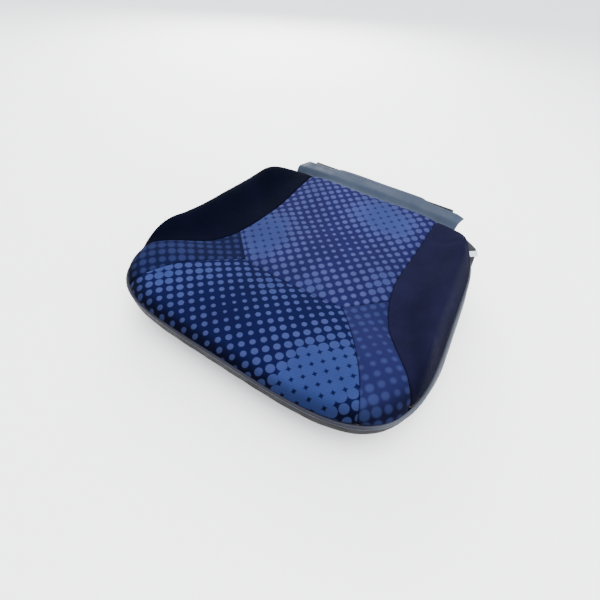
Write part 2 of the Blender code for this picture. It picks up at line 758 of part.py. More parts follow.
def tab_frame(side):
    """The upper end of a corner tab's seam, and its axes: down the seam, out, and square to both."""
    top_y = REAR_CUT + GAP * 4
    foot_y = REAR_CUT - TAB_SETBACK
    top = Vector((side * (edge_half(REAR_CUT) + TAB_TOP_CLEAR), top_y, PIPING_RIM + TAB_RISE))
    foot = Vector((side * (edge_half(foot_y) + TAB_CLEAR), foot_y, BAND_TURN + TAB_CLEAR))
    down = (foot - top).normalized()
    out = Vector((side * TAB_OUT[0], TAB_OUT[1], TAB_OUT[2]))
    out = (out - down * out.dot(down)).normalized()
    return top, (foot - top).length, Matrix((down, out, down.cross(out))).transposed()


def corner_tabs():
    """Loose triangular tails of the side borders, and the care label sewn into the right one's seam."""
    for name, side in (("right", 1), ("left", -1)):
        top, length, axes = tab_frame(side)
        hinge = pivot(f"corner_tab_{name}_hinge", top)
        hinge.rotation_euler = axes.to_euler()
        outline = [
            (0.0, 0.0),
            (length, 0.0),
            (length + TAB_TAIL, TAB_REACH / 2),
            (length * 0.66, TAB_REACH),
            (length / 2, TAB_REACH),
        ]
        tab = prism(f"corner_tab_{name}", outline, -TAB_THICK / 2, TAB_THICK / 2)
        tab.data.materials.append(finish("woven_tape"))
        tab.parent = hinge
    above = TAB_THICK / 2 + GAP
    low = (LABEL_PLACE - LABEL_WIDTH / 2, 0.0, above)
    high = (LABEL_PLACE + LABEL_WIDTH / 2, LABEL_LENGTH, above + LABEL_THICK)
    label = block("care_label", low, high)
    label.data.materials.append(finish("white_label"))
    label.parent = bpy.data.objects["corner_tab_right_hinge"]


def build():
    clear_scene()
    seat_pan()
    pan_inserts()
    foam_pad()
    tie_downs()
    cover_panels()
    borders()
    piping()
    retainers()
    rear_flap()
    corner_tabs()


build()
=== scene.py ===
# %% [markdown]
# # A vehicle seat cushion
# A foam pad on a moulded pan, in a sewn cover: six panels of dotted and plain cloth, piping round the
# edge, a vinyl border below it, and a vinyl flap across the rear that ties the cover to the backrest.
# The solid model gives every piece its place and its movement, and this script gives each piece its
# looks. So it starts by loading that model, and it never moves or resizes anything in it.

# %% Load the solid model
import math

import bpy
import numpy as np
from mathutils import Matrix, Vector


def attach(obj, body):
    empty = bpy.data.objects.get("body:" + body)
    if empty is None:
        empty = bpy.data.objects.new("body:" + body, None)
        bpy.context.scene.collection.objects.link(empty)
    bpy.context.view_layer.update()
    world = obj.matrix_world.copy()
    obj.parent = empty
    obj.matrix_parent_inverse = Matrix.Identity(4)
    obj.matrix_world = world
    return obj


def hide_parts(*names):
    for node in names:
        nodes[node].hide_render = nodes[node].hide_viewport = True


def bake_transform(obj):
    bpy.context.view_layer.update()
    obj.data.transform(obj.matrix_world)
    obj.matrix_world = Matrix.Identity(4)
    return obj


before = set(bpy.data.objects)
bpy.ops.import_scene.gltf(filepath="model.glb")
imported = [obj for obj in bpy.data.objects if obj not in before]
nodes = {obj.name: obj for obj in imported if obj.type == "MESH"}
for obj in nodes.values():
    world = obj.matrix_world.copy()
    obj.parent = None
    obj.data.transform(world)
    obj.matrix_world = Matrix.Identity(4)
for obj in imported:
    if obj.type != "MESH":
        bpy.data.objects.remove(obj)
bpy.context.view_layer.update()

# %% [markdown]
# ## Camera
# The cushion is seen from the front right, from above the sitter's knee height, with a fairly wide lens
# close by. A camera's own axes are X to the right, Y up and Z backwards, so its matrix can be built from
# the direction towards it. A few degrees of roll tilt the picture, as a hand-held camera does.

# %% Camera
AZIMUTH = math.radians(30.3)
ELEVATION = math.radians(45.6)
ROLL = math.radians(4.5)
CAMERA_PLACE = (0.239, -0.433, 0.487)
LENS = 23.04

backwards = Vector((
    math.sin(AZIMUTH) * math.cos(ELEVATION),
    -math.cos(AZIMUTH) * math.cos(ELEVATION),
    math.sin(ELEVATION),
))
level_side = Vector((0, 0, 1)).cross(backwards).normalized()
level_up = backwards.cross(level_side)
camera_side = math.cos(ROLL) * level_side + math.sin(ROLL) * level_up
camera_up = math.cos(ROLL) * level_up - math.sin(ROLL) * level_side
turn = Matrix((camera_side, camera_up, backwards)).transposed()
bpy.ops.object.camera_add(location=CAMERA_PLACE, rotation=turn.to_euler())
camera = bpy.context.object
camera.data.lens = LENS
camera.data.clip_start = 0.01
bpy.context.scene.camera = camera
print("camera at", CAMERA_PLACE, "lens", LENS)

# %% [markdown]
# ## Floor and light
# A plain pale floor and soft light from large lamps. The main lamp stands behind the left of the
# cushion, so the left bolster's inner slope is dark, the right one is lit, and the front edge is in
# shade. An overhead lamp evens the floor in front, an even pale world fills in, and a weak lamp on the
# right lifts the right border.

# %% Floor and light
FLOOR_SIZE = 400.0


def tint(red, green, blue):
    """A colour from its screen values of 0 to 255, as the linear values that shaders take."""
    values = [v / 255 for v in (red, green, blue)]
    return (*(v / 12.92 if v < 0.04 else ((v + 0.055) / 1.055) ** 2.4 for v in values), 1.0)


def soft_lamp(name, place, aim, size, power, colour=(1, 1, 1)):
    """A square lamp of this size, turned to shine on aim."""
    way = Vector(place) - Vector(aim)
    bpy.ops.object.light_add(type="AREA", location=place, rotation=way.to_track_quat("Z", "Y").to_euler())
    lamp = bpy.context.object
    lamp.name = name
    lamp.data.size = size
    lamp.data.energy = power
    lamp.data.color = colour


bpy.ops.mesh.primitive_plane_add(size=FLOOR_SIZE, location=(0, 0, -0.0005))
floor = bpy.context.object
floor.name = "floor"
floor_paint = bpy.data.materials.new("pale floor")
floor_paint.use_nodes = True
floor_shader = floor_paint.node_tree.nodes["Principled BSDF"]
floor_shader.inputs["Base Color"].default_value = (0.84, 0.84, 0.84, 1)
floor_shader.inputs["Roughness"].default_value = 0.9
floor.data.materials.append(floor_paint)

world = bpy.data.worlds.new("pale room")
world.use_nodes = True
sky = world.node_tree.nodes["Background"]
sky.inputs["Color"].default_value = (0.93, 0.95, 1.0, 1)
sky.inputs["Strength"].default_value = 2.7
bpy.context.scene.world = world

soft_lamp("main lamp", (-1.2, 1.5, 1.15), (0, 0, 0.05), 1.3, 85)
soft_lamp("overhead lamp", (0.5, -0.3, 2.1), (0, 0, 0), 1.8, 100)
soft_lamp("right lamp", (1.7, 0.1, 0.55), (0.2, 0, 0.05), 0.8, 14)

# %% [markdown]
# ## Making meshes
# Cloth over foam is a smooth surface with a thickness, and its shape comes from a rule: so high above
# the pan, so much lower in the seams. Such a surface is easiest as a grid of points. The grid is
# doubled, once for the outside and once for the inside, and closed round its rim. A cloth that is one
# closed skin has a real cut edge and a real inside, which a single layer of faces doesn't.

# %% Helpers for meshes


def only(*objects):
    """Selects these objects and nothing else, and makes the first one active."""
    bpy.ops.object.select_all(action="DESELECT")
    for obj in objects:
        obj.select_set(True)
    bpy.context.view_layer.objects.active = objects[0]
    return objects[0]


def in_edit_mode(obj, *steps):
    """Runs steps on the whole mesh in edit mode."""
    only(obj)
    bpy.ops.object.mode_set(mode="EDIT")
    bpy.ops.mesh.select_all(action="SELECT")
    for step in steps:
        step()
    bpy.ops.object.mode_set(mode="OBJECT")
    return obj


def outwards():
    bpy.ops.mesh.normals_make_consistent(inside=False)


def apply_all(obj):
    """Applies the object's modifiers, from the first to the last."""
    only(obj)
    for modifier in list(obj.modifiers):
        bpy.ops.object.modifier_apply(modifier=modifier.name)
    return obj


def grid_faces(rows, columns, start=0):
    """Faces between neighbours in a grid of points that is stored row by row."""
    corner = (np.arange(rows - 1)[:, None] * columns + np.arange(columns - 1)).ravel() + start
    return np.column_stack([corner, corner + 1, corner + columns + 1, corner + columns])


def grid_normals(grid):
    """Unit normals of a grid of points, on the side that faces up or outwards."""
    normals = np.cross(np.gradient(grid, axis=1), np.gradient(grid, axis=0))
    normals /= np.maximum(np.linalg.norm(normals, axis=2, keepdims=True), 1e-12)
    way = grid - np.array((0, 0, 0.02))
    return normals * np.sign(np.sum(normals * way))


def piece_from(name, mesh):
    obj = bpy.data.objects.new(name, mesh)
    bpy.context.scene.collection.objects.link(obj)
    return obj


def closed_cloth(name, outer, inner, laid, values=None):
    """A closed skin from two grids of points.

    laid is each point's place on the flat cloth, and values are grids of numbers that its finish reads
    from the points by name.
    """
    rows, columns = outer.shape[:2]
    count = rows * columns
    points = np.concatenate([outer.reshape(-1, 3), inner.reshape(-1, 3)])
    numbers = np.arange(count).reshape(rows, columns)
    rim = np.concatenate([numbers[0, :-1], numbers[:-1, -1], numbers[-1, :0:-1], numbers[:0:-1, 0]])
    ahead = np.roll(rim, -1)
    walls = np.column_stack([rim, ahead, ahead + count, rim + count])
    faces = np.concatenate([grid_faces(rows, columns), grid_faces(rows, columns, count)[:, ::-1], walls])
    mesh = bpy.data.meshes.new(name)
    mesh.from_pydata(points.tolist(), [], faces.tolist())
    obj = piece_from(name, mesh)
    both = np.concatenate([laid.reshape(-1, 2)] * 2)
    corners = np.empty(len(mesh.loops), int)
    mesh.loops.foreach_get("vertex_index", corners)
    mesh.uv_layers.new(name="cloth").data.foreach_set("uv", both[corners].ravel())
    for value_name, grid in (values or {}).items():
        value = mesh.attributes.new(value_name, "FLOAT", "POINT")
        value.data.foreach_set("value", np.concatenate([grid.ravel()] * 2).astype(np.float32))
    in_edit_mode(obj, outwards)
    mesh.shade_smooth()
    return obj


def sharp_over(obj, degrees):
    only(obj)
    bpy.ops.object.shade_smooth_by_angle(angle=math.radians(degrees))
    return obj


# %% [markdown]
# ## The cushion's form
# The same rules as in the solid model say where the outline, the seams and the top lie, so that the
# cloth lies on the foam. The outline is a rounded square that narrows to the rear. Every ring inside it
# is the same curve drawn in towards the middle by an inset. The top is a shallow dish with a bolster
# on each side, and it falls to the piping over a quarter of an ellipse.

# %% Sizes of the form, in metres
HALF_WIDTH = 0.246
TAPER = 0.09
FRONT_REACH = 0.229
REAR_REACH = 0.245
REAR_CUT = 0.225
SIDE_POWER = 4.4
FRONT_POWER = 3.5
REAR_POWER = 5.9
SCALE_LENGTH = 0.24
SEAT_LEVEL = 0.080
PIPING_RIM = 0.064
DISH = 0.15
REAR_RISE = 0.014
FRONT_DROP = 0.007
THIGH_RISE = 0.007
BOLSTER_RISE = 0.030
BOLSTER_REAR_ROUND = 0.100
BOLSTER_REAR_KEEP = 0.15
BOLSTER_LEAN = 1.80
BOLSTER_FULL = 0.095
CORNER_RISE = 0.013
CORNER_PLACE = (0.215, -0.115)
CORNER_REACH = 0.060
SHOULDER = 0.026
BOLSTER_SEAM = 0.1365
SEAM_FLARE_START = 0.070
SEAM_FLARE = 3.04
SEAM_FLARE_POWER = 2.2
CROSS_SEAM = -0.056
CROSS_HALF = 0.093
CROSS_BOW = 0.004
PANEL_SPREAD = 0.92
PANEL_CURL = 1.5
CORNER_SEAM = -0.006
GAP = 0.0003
COVER = 0.003

# %% Rules of the form


def ease(share):
    share = np.clip(share, 0, 1)
    return share * share * (3 - 2 * share)


def reach_and_power(y):
    return np.where(y < 0, FRONT_REACH, REAR_REACH), np.where(y < 0, FRONT_POWER, REAR_POWER)


def outline_radius(angle):
    """Distance from the middle to the outline in this direction, found by halving."""
    angle = np.asarray(angle, float)
    low, high = np.full(angle.shape, 0.1), np.full(angle.shape, 0.5)
    for _ in range(32):
        middle = (low + high) / 2
        x, y = middle * np.cos(angle), middle * np.sin(angle)
        reach, power = reach_and_power(y)
        inside = np.abs(x / (HALF_WIDTH - TAPER * y)) ** SIDE_POWER + np.abs(y / reach) ** power < 1
        low, high = np.where(inside, middle, low), np.where(inside, high, middle)
    return low


def edge_half(y):
    """Half width of the outline at this y."""
    y = np.asarray(y, float)
    reach, power = reach_and_power(y)
    left = np.maximum(1 - np.abs(y / reach) ** power, 1e-6)
    return (HALF_WIDTH - TAPER * y) * left ** (1 / SIDE_POWER)


def bolster_seam(y):
    return BOLSTER_SEAM + SEAM_FLARE * np.maximum(SEAM_FLARE_START - y, 0) ** SEAM_FLARE_POWER


def panel_seam(y):
    forward = CROSS_SEAM - y
    return CROSS_HALF + PANEL_SPREAD * forward - PANEL_CURL * forward**2


def cross_seam(x):
    return CROSS_SEAM - CROSS_BOW * (1 - (x / CROSS_HALF) ** 2)


def level_top(x, y):
    """Height of the cover away from its rounded edge."""
    height = SEAT_LEVEL + DISH * np.minimum(np.abs(x), BOLSTER_SEAM) ** 2
    height = height + REAR_RISE * ease((y - 0.4 * REAR_CUT) / (0.6 * REAR_CUT))
    height = height - FRONT_DROP * ease((-CROSS_SEAM - y) / (-2 * CROSS_SEAM))
    thigh = np.clip((CROSS_SEAM - y) / (CROSS_SEAM + FRONT_REACH), 0, 1)
    height = height + THIGH_RISE * np.sin(math.pi * thigh)
    seam, edge = bolster_seam(y), edge_half(y)
    width = np.maximum(edge - seam, 1e-6)
    across = np.clip((np.abs(x) - seam) / width, 0, 1) ** BOLSTER_LEAN
    crown = BOLSTER_RISE * ease((REAR_CUT - y) / BOLSTER_REAR_ROUND + BOLSTER_REAR_KEEP)
    crown = crown * ease((edge - seam) / BOLSTER_FULL)
    away = np.hypot(np.abs(x) - CORNER_PLACE[0], y - CORNER_PLACE[1]) / CORNER_REACH
    return height + crown * (1 - np.cos(2 * math.pi * across)) / 2 + CORNER_RISE * np.exp(-(away**2))


def cover_top(x, y):
    """Height of the cover, with its rounded edge, each point's place on the flat cloth, and its share
    of the way over that edge.

    Cloth that runs down the edge is longer than its plan shows, so its place on the flat moves outwards.
    """
    angle, radius = np.arctan2(y, x), np.hypot(x, y)
    inset = np.clip((1 - radius / outline_radius(angle)) * SCALE_LENGTH, 0, None)
    share = 1 - np.minimum(inset / SHOULDER, 1)
    drop = level_top(x, y) - PIPING_RIM
    turned = np.arcsin(share)
    steps = (np.arange(12) + 0.5) / 12
    parts = turned[..., None] * steps
    pace = np.hypot(SHOULDER * np.cos(parts), drop[..., None] * np.sin(parts))
    longer = turned * pace.mean(axis=-1) - SHOULDER * share
    laid = np.stack([x + longer * np.cos(angle), y + longer * np.sin(angle)], axis=-1)
    return PIPING_RIM + drop * np.sqrt(1 - share**2), laid, share


def ring_point(angle, inset, height):
    """Points of the outline drawn in by an inset, at a height."""
    radius = outline_radius(angle) * (1 - inset / SCALE_LENGTH)
    return np.stack(np.broadcast_arrays(radius * np.cos(angle), radius * np.sin(angle), height), axis=-1)


print("outline half widths, front to rear:", np.round(edge_half(np.array([-0.2, 0, 0.2])), 3))

# %% [markdown]
# ## Seams
# Seven seams join the six panels. Under three of them, lines of wire in the foam pull the cover down,
# which is what gives a seat its valleys. Each seam is a line in plan. A point of the cover knows how
# far it is from the nearest one, and sinks by that.

# %% Seam lines in plan
LINE_POINTS = 60


def line_of(rule, start, end):
    """A line down a seam, as points (rule(y), y)."""
    y = np.linspace(start, end, LINE_POINTS)
    return np.column_stack([rule(y), y])


def meets_outline(rule):
    """How far forward a seam runs before it meets the outline."""
    y = np.linspace(CORNER_SEAM + CROSS_SEAM, -FRONT_REACH, 4000)
    return y[np.argmax(rule(y) > edge_half(y))]


def rim_arc(start, end):
    """The part of the outline between two points on it, the short way round at the front or a side."""
    first, last = math.atan2(start[1], start[0]), math.atan2(end[1], end[0])
    angles = np.linspace(first, last, 3 * LINE_POINTS)
    radius = outline_radius(angles)
    return np.column_stack([radius * np.cos(angles), radius * np.sin(angles)])


panel_end = meets_outline(panel_seam)
bolster_end = meets_outline(bolster_seam)
cross_x = np.linspace(-CROSS_HALF, CROSS_HALF, LINE_POINTS)
cross_line = np.column_stack([cross_x, cross_seam(cross_x)])
rear_bolster_line = line_of(bolster_seam, REAR_CUT, CORNER_SEAM)
front_bolster_line = line_of(bolster_seam, CORNER_SEAM, bolster_end)
panel_line = line_of(panel_seam, CROSS_SEAM, panel_end)
corner_line = np.linspace(panel_line[0], front_bolster_line[0], LINE_POINTS)
print("the seams reach the front edge at y", round(float(panel_end), 4), "and", round(float(bolster_end), 4))

# %% Distance to the seams
PULL_DEEP = 0.0036      # the valley over the tie-down wires
PULL_LIGHT = 0.0022     # and at a seam that is only sewn
PULL_REACH = 0.013      # how far from the seam the cloth starts to sink
deep_seams = [rear_bolster_line, front_bolster_line, cross_line]
light_seams = [panel_line, corner_line]


def both_sides(lines):
    return lines + [line * (-1, 1) for line in lines]


def distance_to(lines, x, y):
    """Distance in plan from each point to the nearest of these lines."""
    spots = np.stack([x, y], axis=-1)
    nearest = np.full(x.shape, 1.0)
    for line in lines:
        for start, end in zip(line[:-1:3], np.append(line[3::3], line[-1:], axis=0)):
            run = end - start
            share = np.clip((spots - start) @ run / max(run @ run, 1e-12), 0, 1)
            nearest = np.minimum(nearest, np.linalg.norm(spots - start - share[..., None] * run, axis=-1))
    return nearest


def valley(x, y):
    """How far the cover sinks towards its seams."""
    deep = PULL_DEEP * np.exp(-distance_to(both_sides(deep_seams), x, y) / PULL_REACH)
    light = PULL_LIGHT * np.exp(-distance_to(both_sides(light_seams), x, y) / PULL_REACH)
    return np.maximum(deep, light)


# %% [markdown]
# ## Foam
# The pad is one moulded block of soft foam. Its solid shape is right but coarse and sharp. A voxel
# remesh gives it even faces, each point on its top sinks with the cover's valleys, and a smoothing
# rounds its edges as a mould does. Its surface is a thin skin with fine pores.

# %% Foam block
FOAM_VOXEL = 0.0042
FOAM_SOFTEN = 3
FOAM_BELOW = COVER + 0.0014
FOAM_RIM = PIPING_RIM - 0.003
FOAM_DRAWN = 0.0020     # its rim is drawn in by this, clear of the rolled edge of the cover
TIP_DIP = 0.006         # the foam is hollowed where a seam of the front corner meets the piping
TIP_REACH = 0.016


def copy_of(node, name):
    """A new piece with its own copy of a solid's mesh, its double points merged."""
    mesh = nodes[node].data.copy()
    mesh.materials.clear()
    return in_edit_mode(piece_from(name, mesh), lambda: bpy.ops.mesh.remove_doubles(threshold=1e-5), outwards)


def points_of(obj):
    points = np.empty(len(obj.data.vertices) * 3)
    obj.data.vertices.foreach_get("co", points)
    return points.reshape(-1, 3)


def set_points(obj, points):
    obj.data.vertices.foreach_set("co", points.ravel())
    obj.data.update()


foam = copy_of("foam_pad", "foam_block")
remesh = foam.modifiers.new("even faces", "REMESH")
remesh.mode = "VOXEL"
remesh.voxel_size = FOAM_VOXEL
soften = foam.modifiers.new("soft edges", "SMOOTH")
soften.iterations = FOAM_SOFTEN
apply_all(foam)
points = points_of(foam)
sinks = ease((points[:, 2] - 0.5 * PIPING_RIM) / (0.5 * PIPING_RIM))
points[:, 2] -= sinks * valley(points[:, 0], points[:, 1])
inward = 1 - FOAM_BELOW / np.hypot(points[:, 0], points[:, 1]).clip(FOAM_BELOW * 2)
above = cover_top(points[:, 0], points[:, 1])[0]
outside = cover_top(points[:, 0] / inward, points[:, 1] / inward)[0]
tips = [front_bolster_line[-1], panel_line[-1]]
to_tip = np.min([np.hypot(np.abs(points[:, 0]) - tip[0], points[:, 1] - tip[1]) for tip in tips], axis=0)
lid = np.minimum(above, outside) - valley(points[:, 0], points[:, 1]) - FOAM_BELOW
lid = lid - TIP_DIP * np.exp(-((to_tip / TIP_REACH) ** 2))
points[:, 2] = np.where(points[:, 2] > FOAM_RIM, np.minimum(points[:, 2], lid.clip(FOAM_RIM)), points[:, 2])
near_rim = ease((points[:, 2] - PIPING_RIM + 0.012) / 0.009)
points[:, :2] *= (1 - FOAM_DRAWN * near_rim / np.hypot(points[:, 0], points[:, 1]).clip(0.05))[:, None]
set_points(foam, points)
foam.data.shade_smooth()
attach(foam, "cushion")
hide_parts("foam_pad")
print("foam block:", len(foam.data.polygons), "faces")

# %% [markdown]
# ## Cover panels
# Each panel is cut from cloth that is backed with thin foam, and its four sides are seams or the
# outline. A Coons patch fills four curved sides with an even grid: it blends the two pairs of sides
# and takes off what the corners would count twice. The grid is closer at the sides, where the cloth
# rolls down into its seam.

# %% Grids between four sides


def spaced(count):
    """Shares from 0 to 1, closer together at both ends."""
    return (1 - np.cos(np.linspace(0, math.pi, count))) / 2


def along(line, shares):
    """Points at these shares of a line's length."""
    run = np.append(0, np.cumsum(np.linalg.norm(np.diff(line, axis=0), axis=1)))
    return np.column_stack([np.interp(shares * run[-1], run, line[:, k]) for k in (0, 1)])


def patch(near, far, left, right, columns, rows):
    """A grid of plan points. near and far run from left to right, left and right from near to far."""
    across, down = spaced(columns), spaced(rows)
    u, v = across[None, :, None], down[:, None, None]
    near, far = along(near, across)[None], along(far, across)[None]
    left, right = along(left, down)[:, None], along(right, down)[:, None]
    corners = (1 - v) * ((1 - u) * near[:, :1] + u * near[:, -1:])
    corners = corners + v * ((1 - u) * far[:, :1] + u * far[:, -1:])
    return (1 - v) * near + v * far + (1 - u) * left + u * right - corners


# %% [markdown]
# ## The swell of the dots
# The dotted cloth is a jacquard with a square lattice of dots. Over the cloth the dots swell until they
# run together, with small dark diamonds left between them, and shrink again to small dots. Each swell
# is a soft round hill: its place, its reach and its strength. The sum of the hills is stored on the
# points of the mesh, and the cloth's shader turns it into the dots' radius.

# %% Swells
SWELL_LEVEL = 0.30
SMALL_BANDS = 0.10


def swells(x, y, hills):
    """Sum of the hills at each point, with a faint slanting wave."""
    total = SWELL_LEVEL + SMALL_BANDS * np.sin(70 * (x + y)) * np.sin(52 * (x - y) + 0.8)
    for hill_x, hill_y, reach, strength in hills:
        total = total + strength * np.exp(-((x - hill_x) ** 2 + (y - hill_y) ** 2) / reach**2)
    return np.clip(total, 0, 1)


CENTRE_HILLS = [
    (0.028, 0.180, 0.046, 0.75),
    (0.086, 0.166, 0.040, 0.60),
    (-0.112, 0.030, 0.050, 0.85),
    (-0.085, -0.020, 0.040, 0.45),
    (0.034, -0.040, 0.032, 0.35),
    (0.118, 0.022, 0.035, 0.40),
    (-0.105, 0.185, 0.045, 0.25),
    (0.010, 0.070, 0.050, -0.22),
]
FRONT_HILLS = [
    (0.140, -0.170, 0.055, 0.85),
    (0.118, -0.215, 0.045, 0.60),
    (-0.020, -0.082, 0.036, 0.32),
    (-0.172, -0.160, 0.045, 0.50),
    (-0.105, -0.115, 0.032, 0.22),
    (-0.040, -0.150, 0.045, -0.25),
    (0.050, -0.105, 0.030, -0.16),
]
CORNER_HILLS = [
    (0.195, -0.200, 0.032, 0.45),
    (0.168, -0.110, 0.050, -0.18),
    (-0.215, -0.110, 0.070, 0.40),
    (0.120, -0.040, 0.030, 0.10),
]

# %% [markdown]
# ## Panels over the foam
# A panel's outside is the form of the cushion, sunk in the seams, with a small roll at every cut edge
# and faint ripples where the thread gathers the cloth. Its inside lies one cloth thickness below,
# measured square to the surface, so the skin is as thick down the front edge as on top.

# %% Cover panels
ROLL = 0.0024
PINCH = 0.0030          # the right bolster's foot is drawn in by this behind the piping
PINCH_REACH = 0.011
RIPPLE = 0.00035        # gathers along a seam
RIPPLE_REACH = 0.007
WAVE = 0.0006           # slow unevenness of the foam
FOLD_PLACE = 0.168      # the right bolster has one soft fold, near its rear
FOLD_SLOPE = 0.25
FOLD_DEPTH = 0.0014
FOLD_REACH = 0.007
CALM = 0.02             # folds and pinches fade out over this near a seam
rear_line = np.array([(-BOLSTER_SEAM, REAR_CUT), (BOLSTER_SEAM, REAR_CUT)])


def cover_sheet(name, plan, hills=None, folded=False):
    """A closed panel over a plan grid, lying on the foam."""
    x, y = plan[..., 0], plan[..., 1]
    height, laid, rolled = cover_top(x, y)
    base = np.stack([x, y, height], axis=-1)
    normals = grid_normals(base)
    to_seam = distance_to(both_sides(deep_seams + light_seams), x, y)
    to_edge = np.minimum(np.minimum(to_seam, REAR_CUT - y), height - PIPING_RIM)
    roll = ROLL * (1 - np.sqrt(1 - (1 - np.clip(to_edge / ROLL, 0, 1)) ** 2))
    run = 1.3 * x + y
    ripples = RIPPLE * np.sin(run * 560 + 3 * np.sin(60 * y)) * np.exp(-to_seam / RIPPLE_REACH)
    waves = WAVE * np.sin(41 * x + 9 * y) * np.sin(33 * y - 12 * x + 1) * ease(to_seam / 0.03)
    sink = valley(x, y) + ripples * ease(to_edge / 0.004) + waves
    if folded:
        slant = y - FOLD_PLACE + FOLD_SLOPE * (x - BOLSTER_SEAM)
        sink = sink + FOLD_DEPTH * np.exp(-(slant / FOLD_REACH) ** 2) * ease(to_edge / CALM)
        sink = sink + PINCH * (1 - ease((height - PIPING_RIM) / PINCH_REACH)) * ease(to_seam / CALM)
    outer = base - normals * (sink + roll)[..., None]
    inner = base - normals * (sink + COVER)[..., None]
    outer[..., 2] = np.maximum(outer[..., 2], PIPING_RIM)
    inner[..., 2] = np.maximum(inner[..., 2], PIPING_RIM)
    values = {"rolled": rolled}
    if hills:
        values["swell"] = swells(x, y, hills)
    sheet = closed_cloth(name, outer, inner, laid, values)
    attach(sheet, "cushion")
    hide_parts(name.replace("cover_", ""))
    return sheet


def mirror(plan):
    return plan[:, ::-1] * (-1, 1)


half_side = np.concatenate([corner_line, rear_bolster_line[::-1]])
centre_plan = patch(cross_line, rear_line, half_side * (-1, 1), half_side, 130, 130)
centre = cover_sheet("cover_centre_insert", centre_plan, CENTRE_HILLS)
left_panel_line = panel_line * (-1, 1)
front_arc = rim_arc(left_panel_line[-1], panel_line[-1])
front_plan = patch(cross_line, front_arc, left_panel_line, panel_line, 140, 100)
front = cover_sheet("cover_front_insert", front_plan, FRONT_HILLS)
corner_arc = rim_arc(panel_line[-1], front_bolster_line[-1])
corner_plan = patch(corner_line, corner_arc, panel_line, front_bolster_line, 60, 90)
corner_right = cover_sheet("cover_front_corner_right", corner_plan, CORNER_HILLS)
corner_left = cover_sheet("cover_front_corner_left", mirror(corner_plan), CORNER_HILLS)

# %% Bolster panels
BOLSTER_TIP = 0.0008    # the bolster ends in a tip this far behind where its seam meets the outline
rear_edge = np.array([(BOLSTER_SEAM, REAR_CUT), (float(edge_half(REAR_CUT)), REAR_CUT)])
inner_side = line_of(bolster_seam, REAR_CUT, bolster_end + BOLSTER_TIP)
tip_y = inner_side[-1, 1]
tip_edge = np.array([inner_side[-1], (float(edge_half(tip_y)), tip_y)])
outer_side = rim_arc(rear_edge[1], tip_edge[1])
bolster_plan = patch(rear_edge, tip_edge, inner_side, outer_side, 70, 130)
bolster_right = cover_sheet("cover_bolster_right", bolster_plan, folded=True)
bolster_left = cover_sheet("cover_bolster_left", mirror(bolster_plan))

# %% [markdown]
# ## Piping
# A cord wrapped in a strip of vinyl is sewn between the cover and the border. It is the light line
# round the cushion. A tube of rings along the outline makes it, a little flattened where the two
# cloths press on it.

# %% Piping
PIPING_RADIUS = 0.002
PIPING_HEIGHT = PIPING_RIM - GAP - PIPING_RADIUS
PIPING_INSET = COVER - PIPING_RADIUS
PIPING_PLUMP = 0.0008       # the vinyl makes the cord this much thicker than its core
PIPING_OUT = 0.0011         # and it is squeezed outwards by this
STEP = math.pi / 40         # the solid model's step round the outline
FINER = 5                   # steps here to one of those
REAR_STEP = 11
CORNER_STEP = -7
HALF_TURN = 40
PIPING_SIDES = 14
PUCKER = 0.00012


def steps_between(first, last):
    """Directions round the outline between two of the solid model's steps."""
    return STEP * np.linspace(first, last, (last - first) * FINER + 1)


angles = steps_between(-HALF_TURN - REAR_STEP, REAR_STEP)
round_it = np.linspace(0, 2 * math.pi, PIPING_SIDES, endpoint=False)
pucker = PUCKER * np.sin(angles * 190)[:, None]
plump = PIPING_RADIUS + PIPING_PLUMP
reach_in = PIPING_INSET - PIPING_OUT - (plump + pucker) * np.cos(round_it)[None, :]
level = PIPING_HEIGHT + (plump - pucker) * np.sin(round_it)[None, :]
tube_points = ring_point(np.repeat(angles[:, None], PIPING_SIDES, axis=1), reach_in, level)
closed_round = np.concatenate([tube_points, tube_points[:, :1]], axis=1)
rows, columns = closed_round.shape[:2]
last_ring = (rows - 1) * columns
caps = [list(range(PIPING_SIDES)), list(range(last_ring, last_ring + PIPING_SIDES))[::-1]]
mesh = bpy.data.meshes.new("piping_cord")
mesh.from_pydata(closed_round.reshape(-1, 3).tolist(), [], grid_faces(rows, columns).tolist() + caps)
piping = piece_from("piping_cord", mesh)
in_edit_mode(piping, lambda: bpy.ops.mesh.remove_doubles(threshold=1e-6), outwards)
mesh.shade_smooth()
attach(piping, "cushion")
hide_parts("edge_piping")
print("piping:", len(mesh.polygons), "faces")

# %% [markdown]
# ## Border
# The vinyl band below the piping is sewn in three lengths, with upright joints near the front corners.
# Its profile runs down from the piping, turns under in a soft curve and ends in the plastic hook
# profile on the pan. A corner-cutting rule rounds the profile. Along its top it tucks in under the
# piping, and at a joint its end rolls in.

# %% Border bands
BAND = 0.0025
BAND_TOP = PIPING_HEIGHT - PIPING_RADIUS - GAP
BAND_TURN = 0.045
PAN_HEIGHT = 0.0187
PAN_WALL = 0.003
BAND_END = 0.0488 - 2 * GAP - 0.0015
TURN_IN = 0.009
TURN_DOWN = 0.0075
TUCK = 0.0013
TUCK_REACH = 0.0014
BAND_BULGE = 0.0009
BAND_BULGE_RIGHT = 0.0055   # the right side is slack, and bellies out
SLACK_FADE = 0.35           # turn round the cushion, in radians, over which a slack side tightens
REAR_TIGHT = 0.15           # and the turn before its rear end that lies flat, under the corner tab
JOINT_ROLL = 0.0012


def rounded(line, times):
    """A line with its corners cut off again and again, which rounds them."""
    for _ in range(times):
        near, far = 0.75 * line[:-1] + 0.25 * line[1:], 0.25 * line[:-1] + 0.75 * line[1:]
        middle = np.stack([near, far], axis=1).reshape(-1, 2)
        line = np.concatenate([line[:1], middle[1:-1], line[-1:]])
    return line


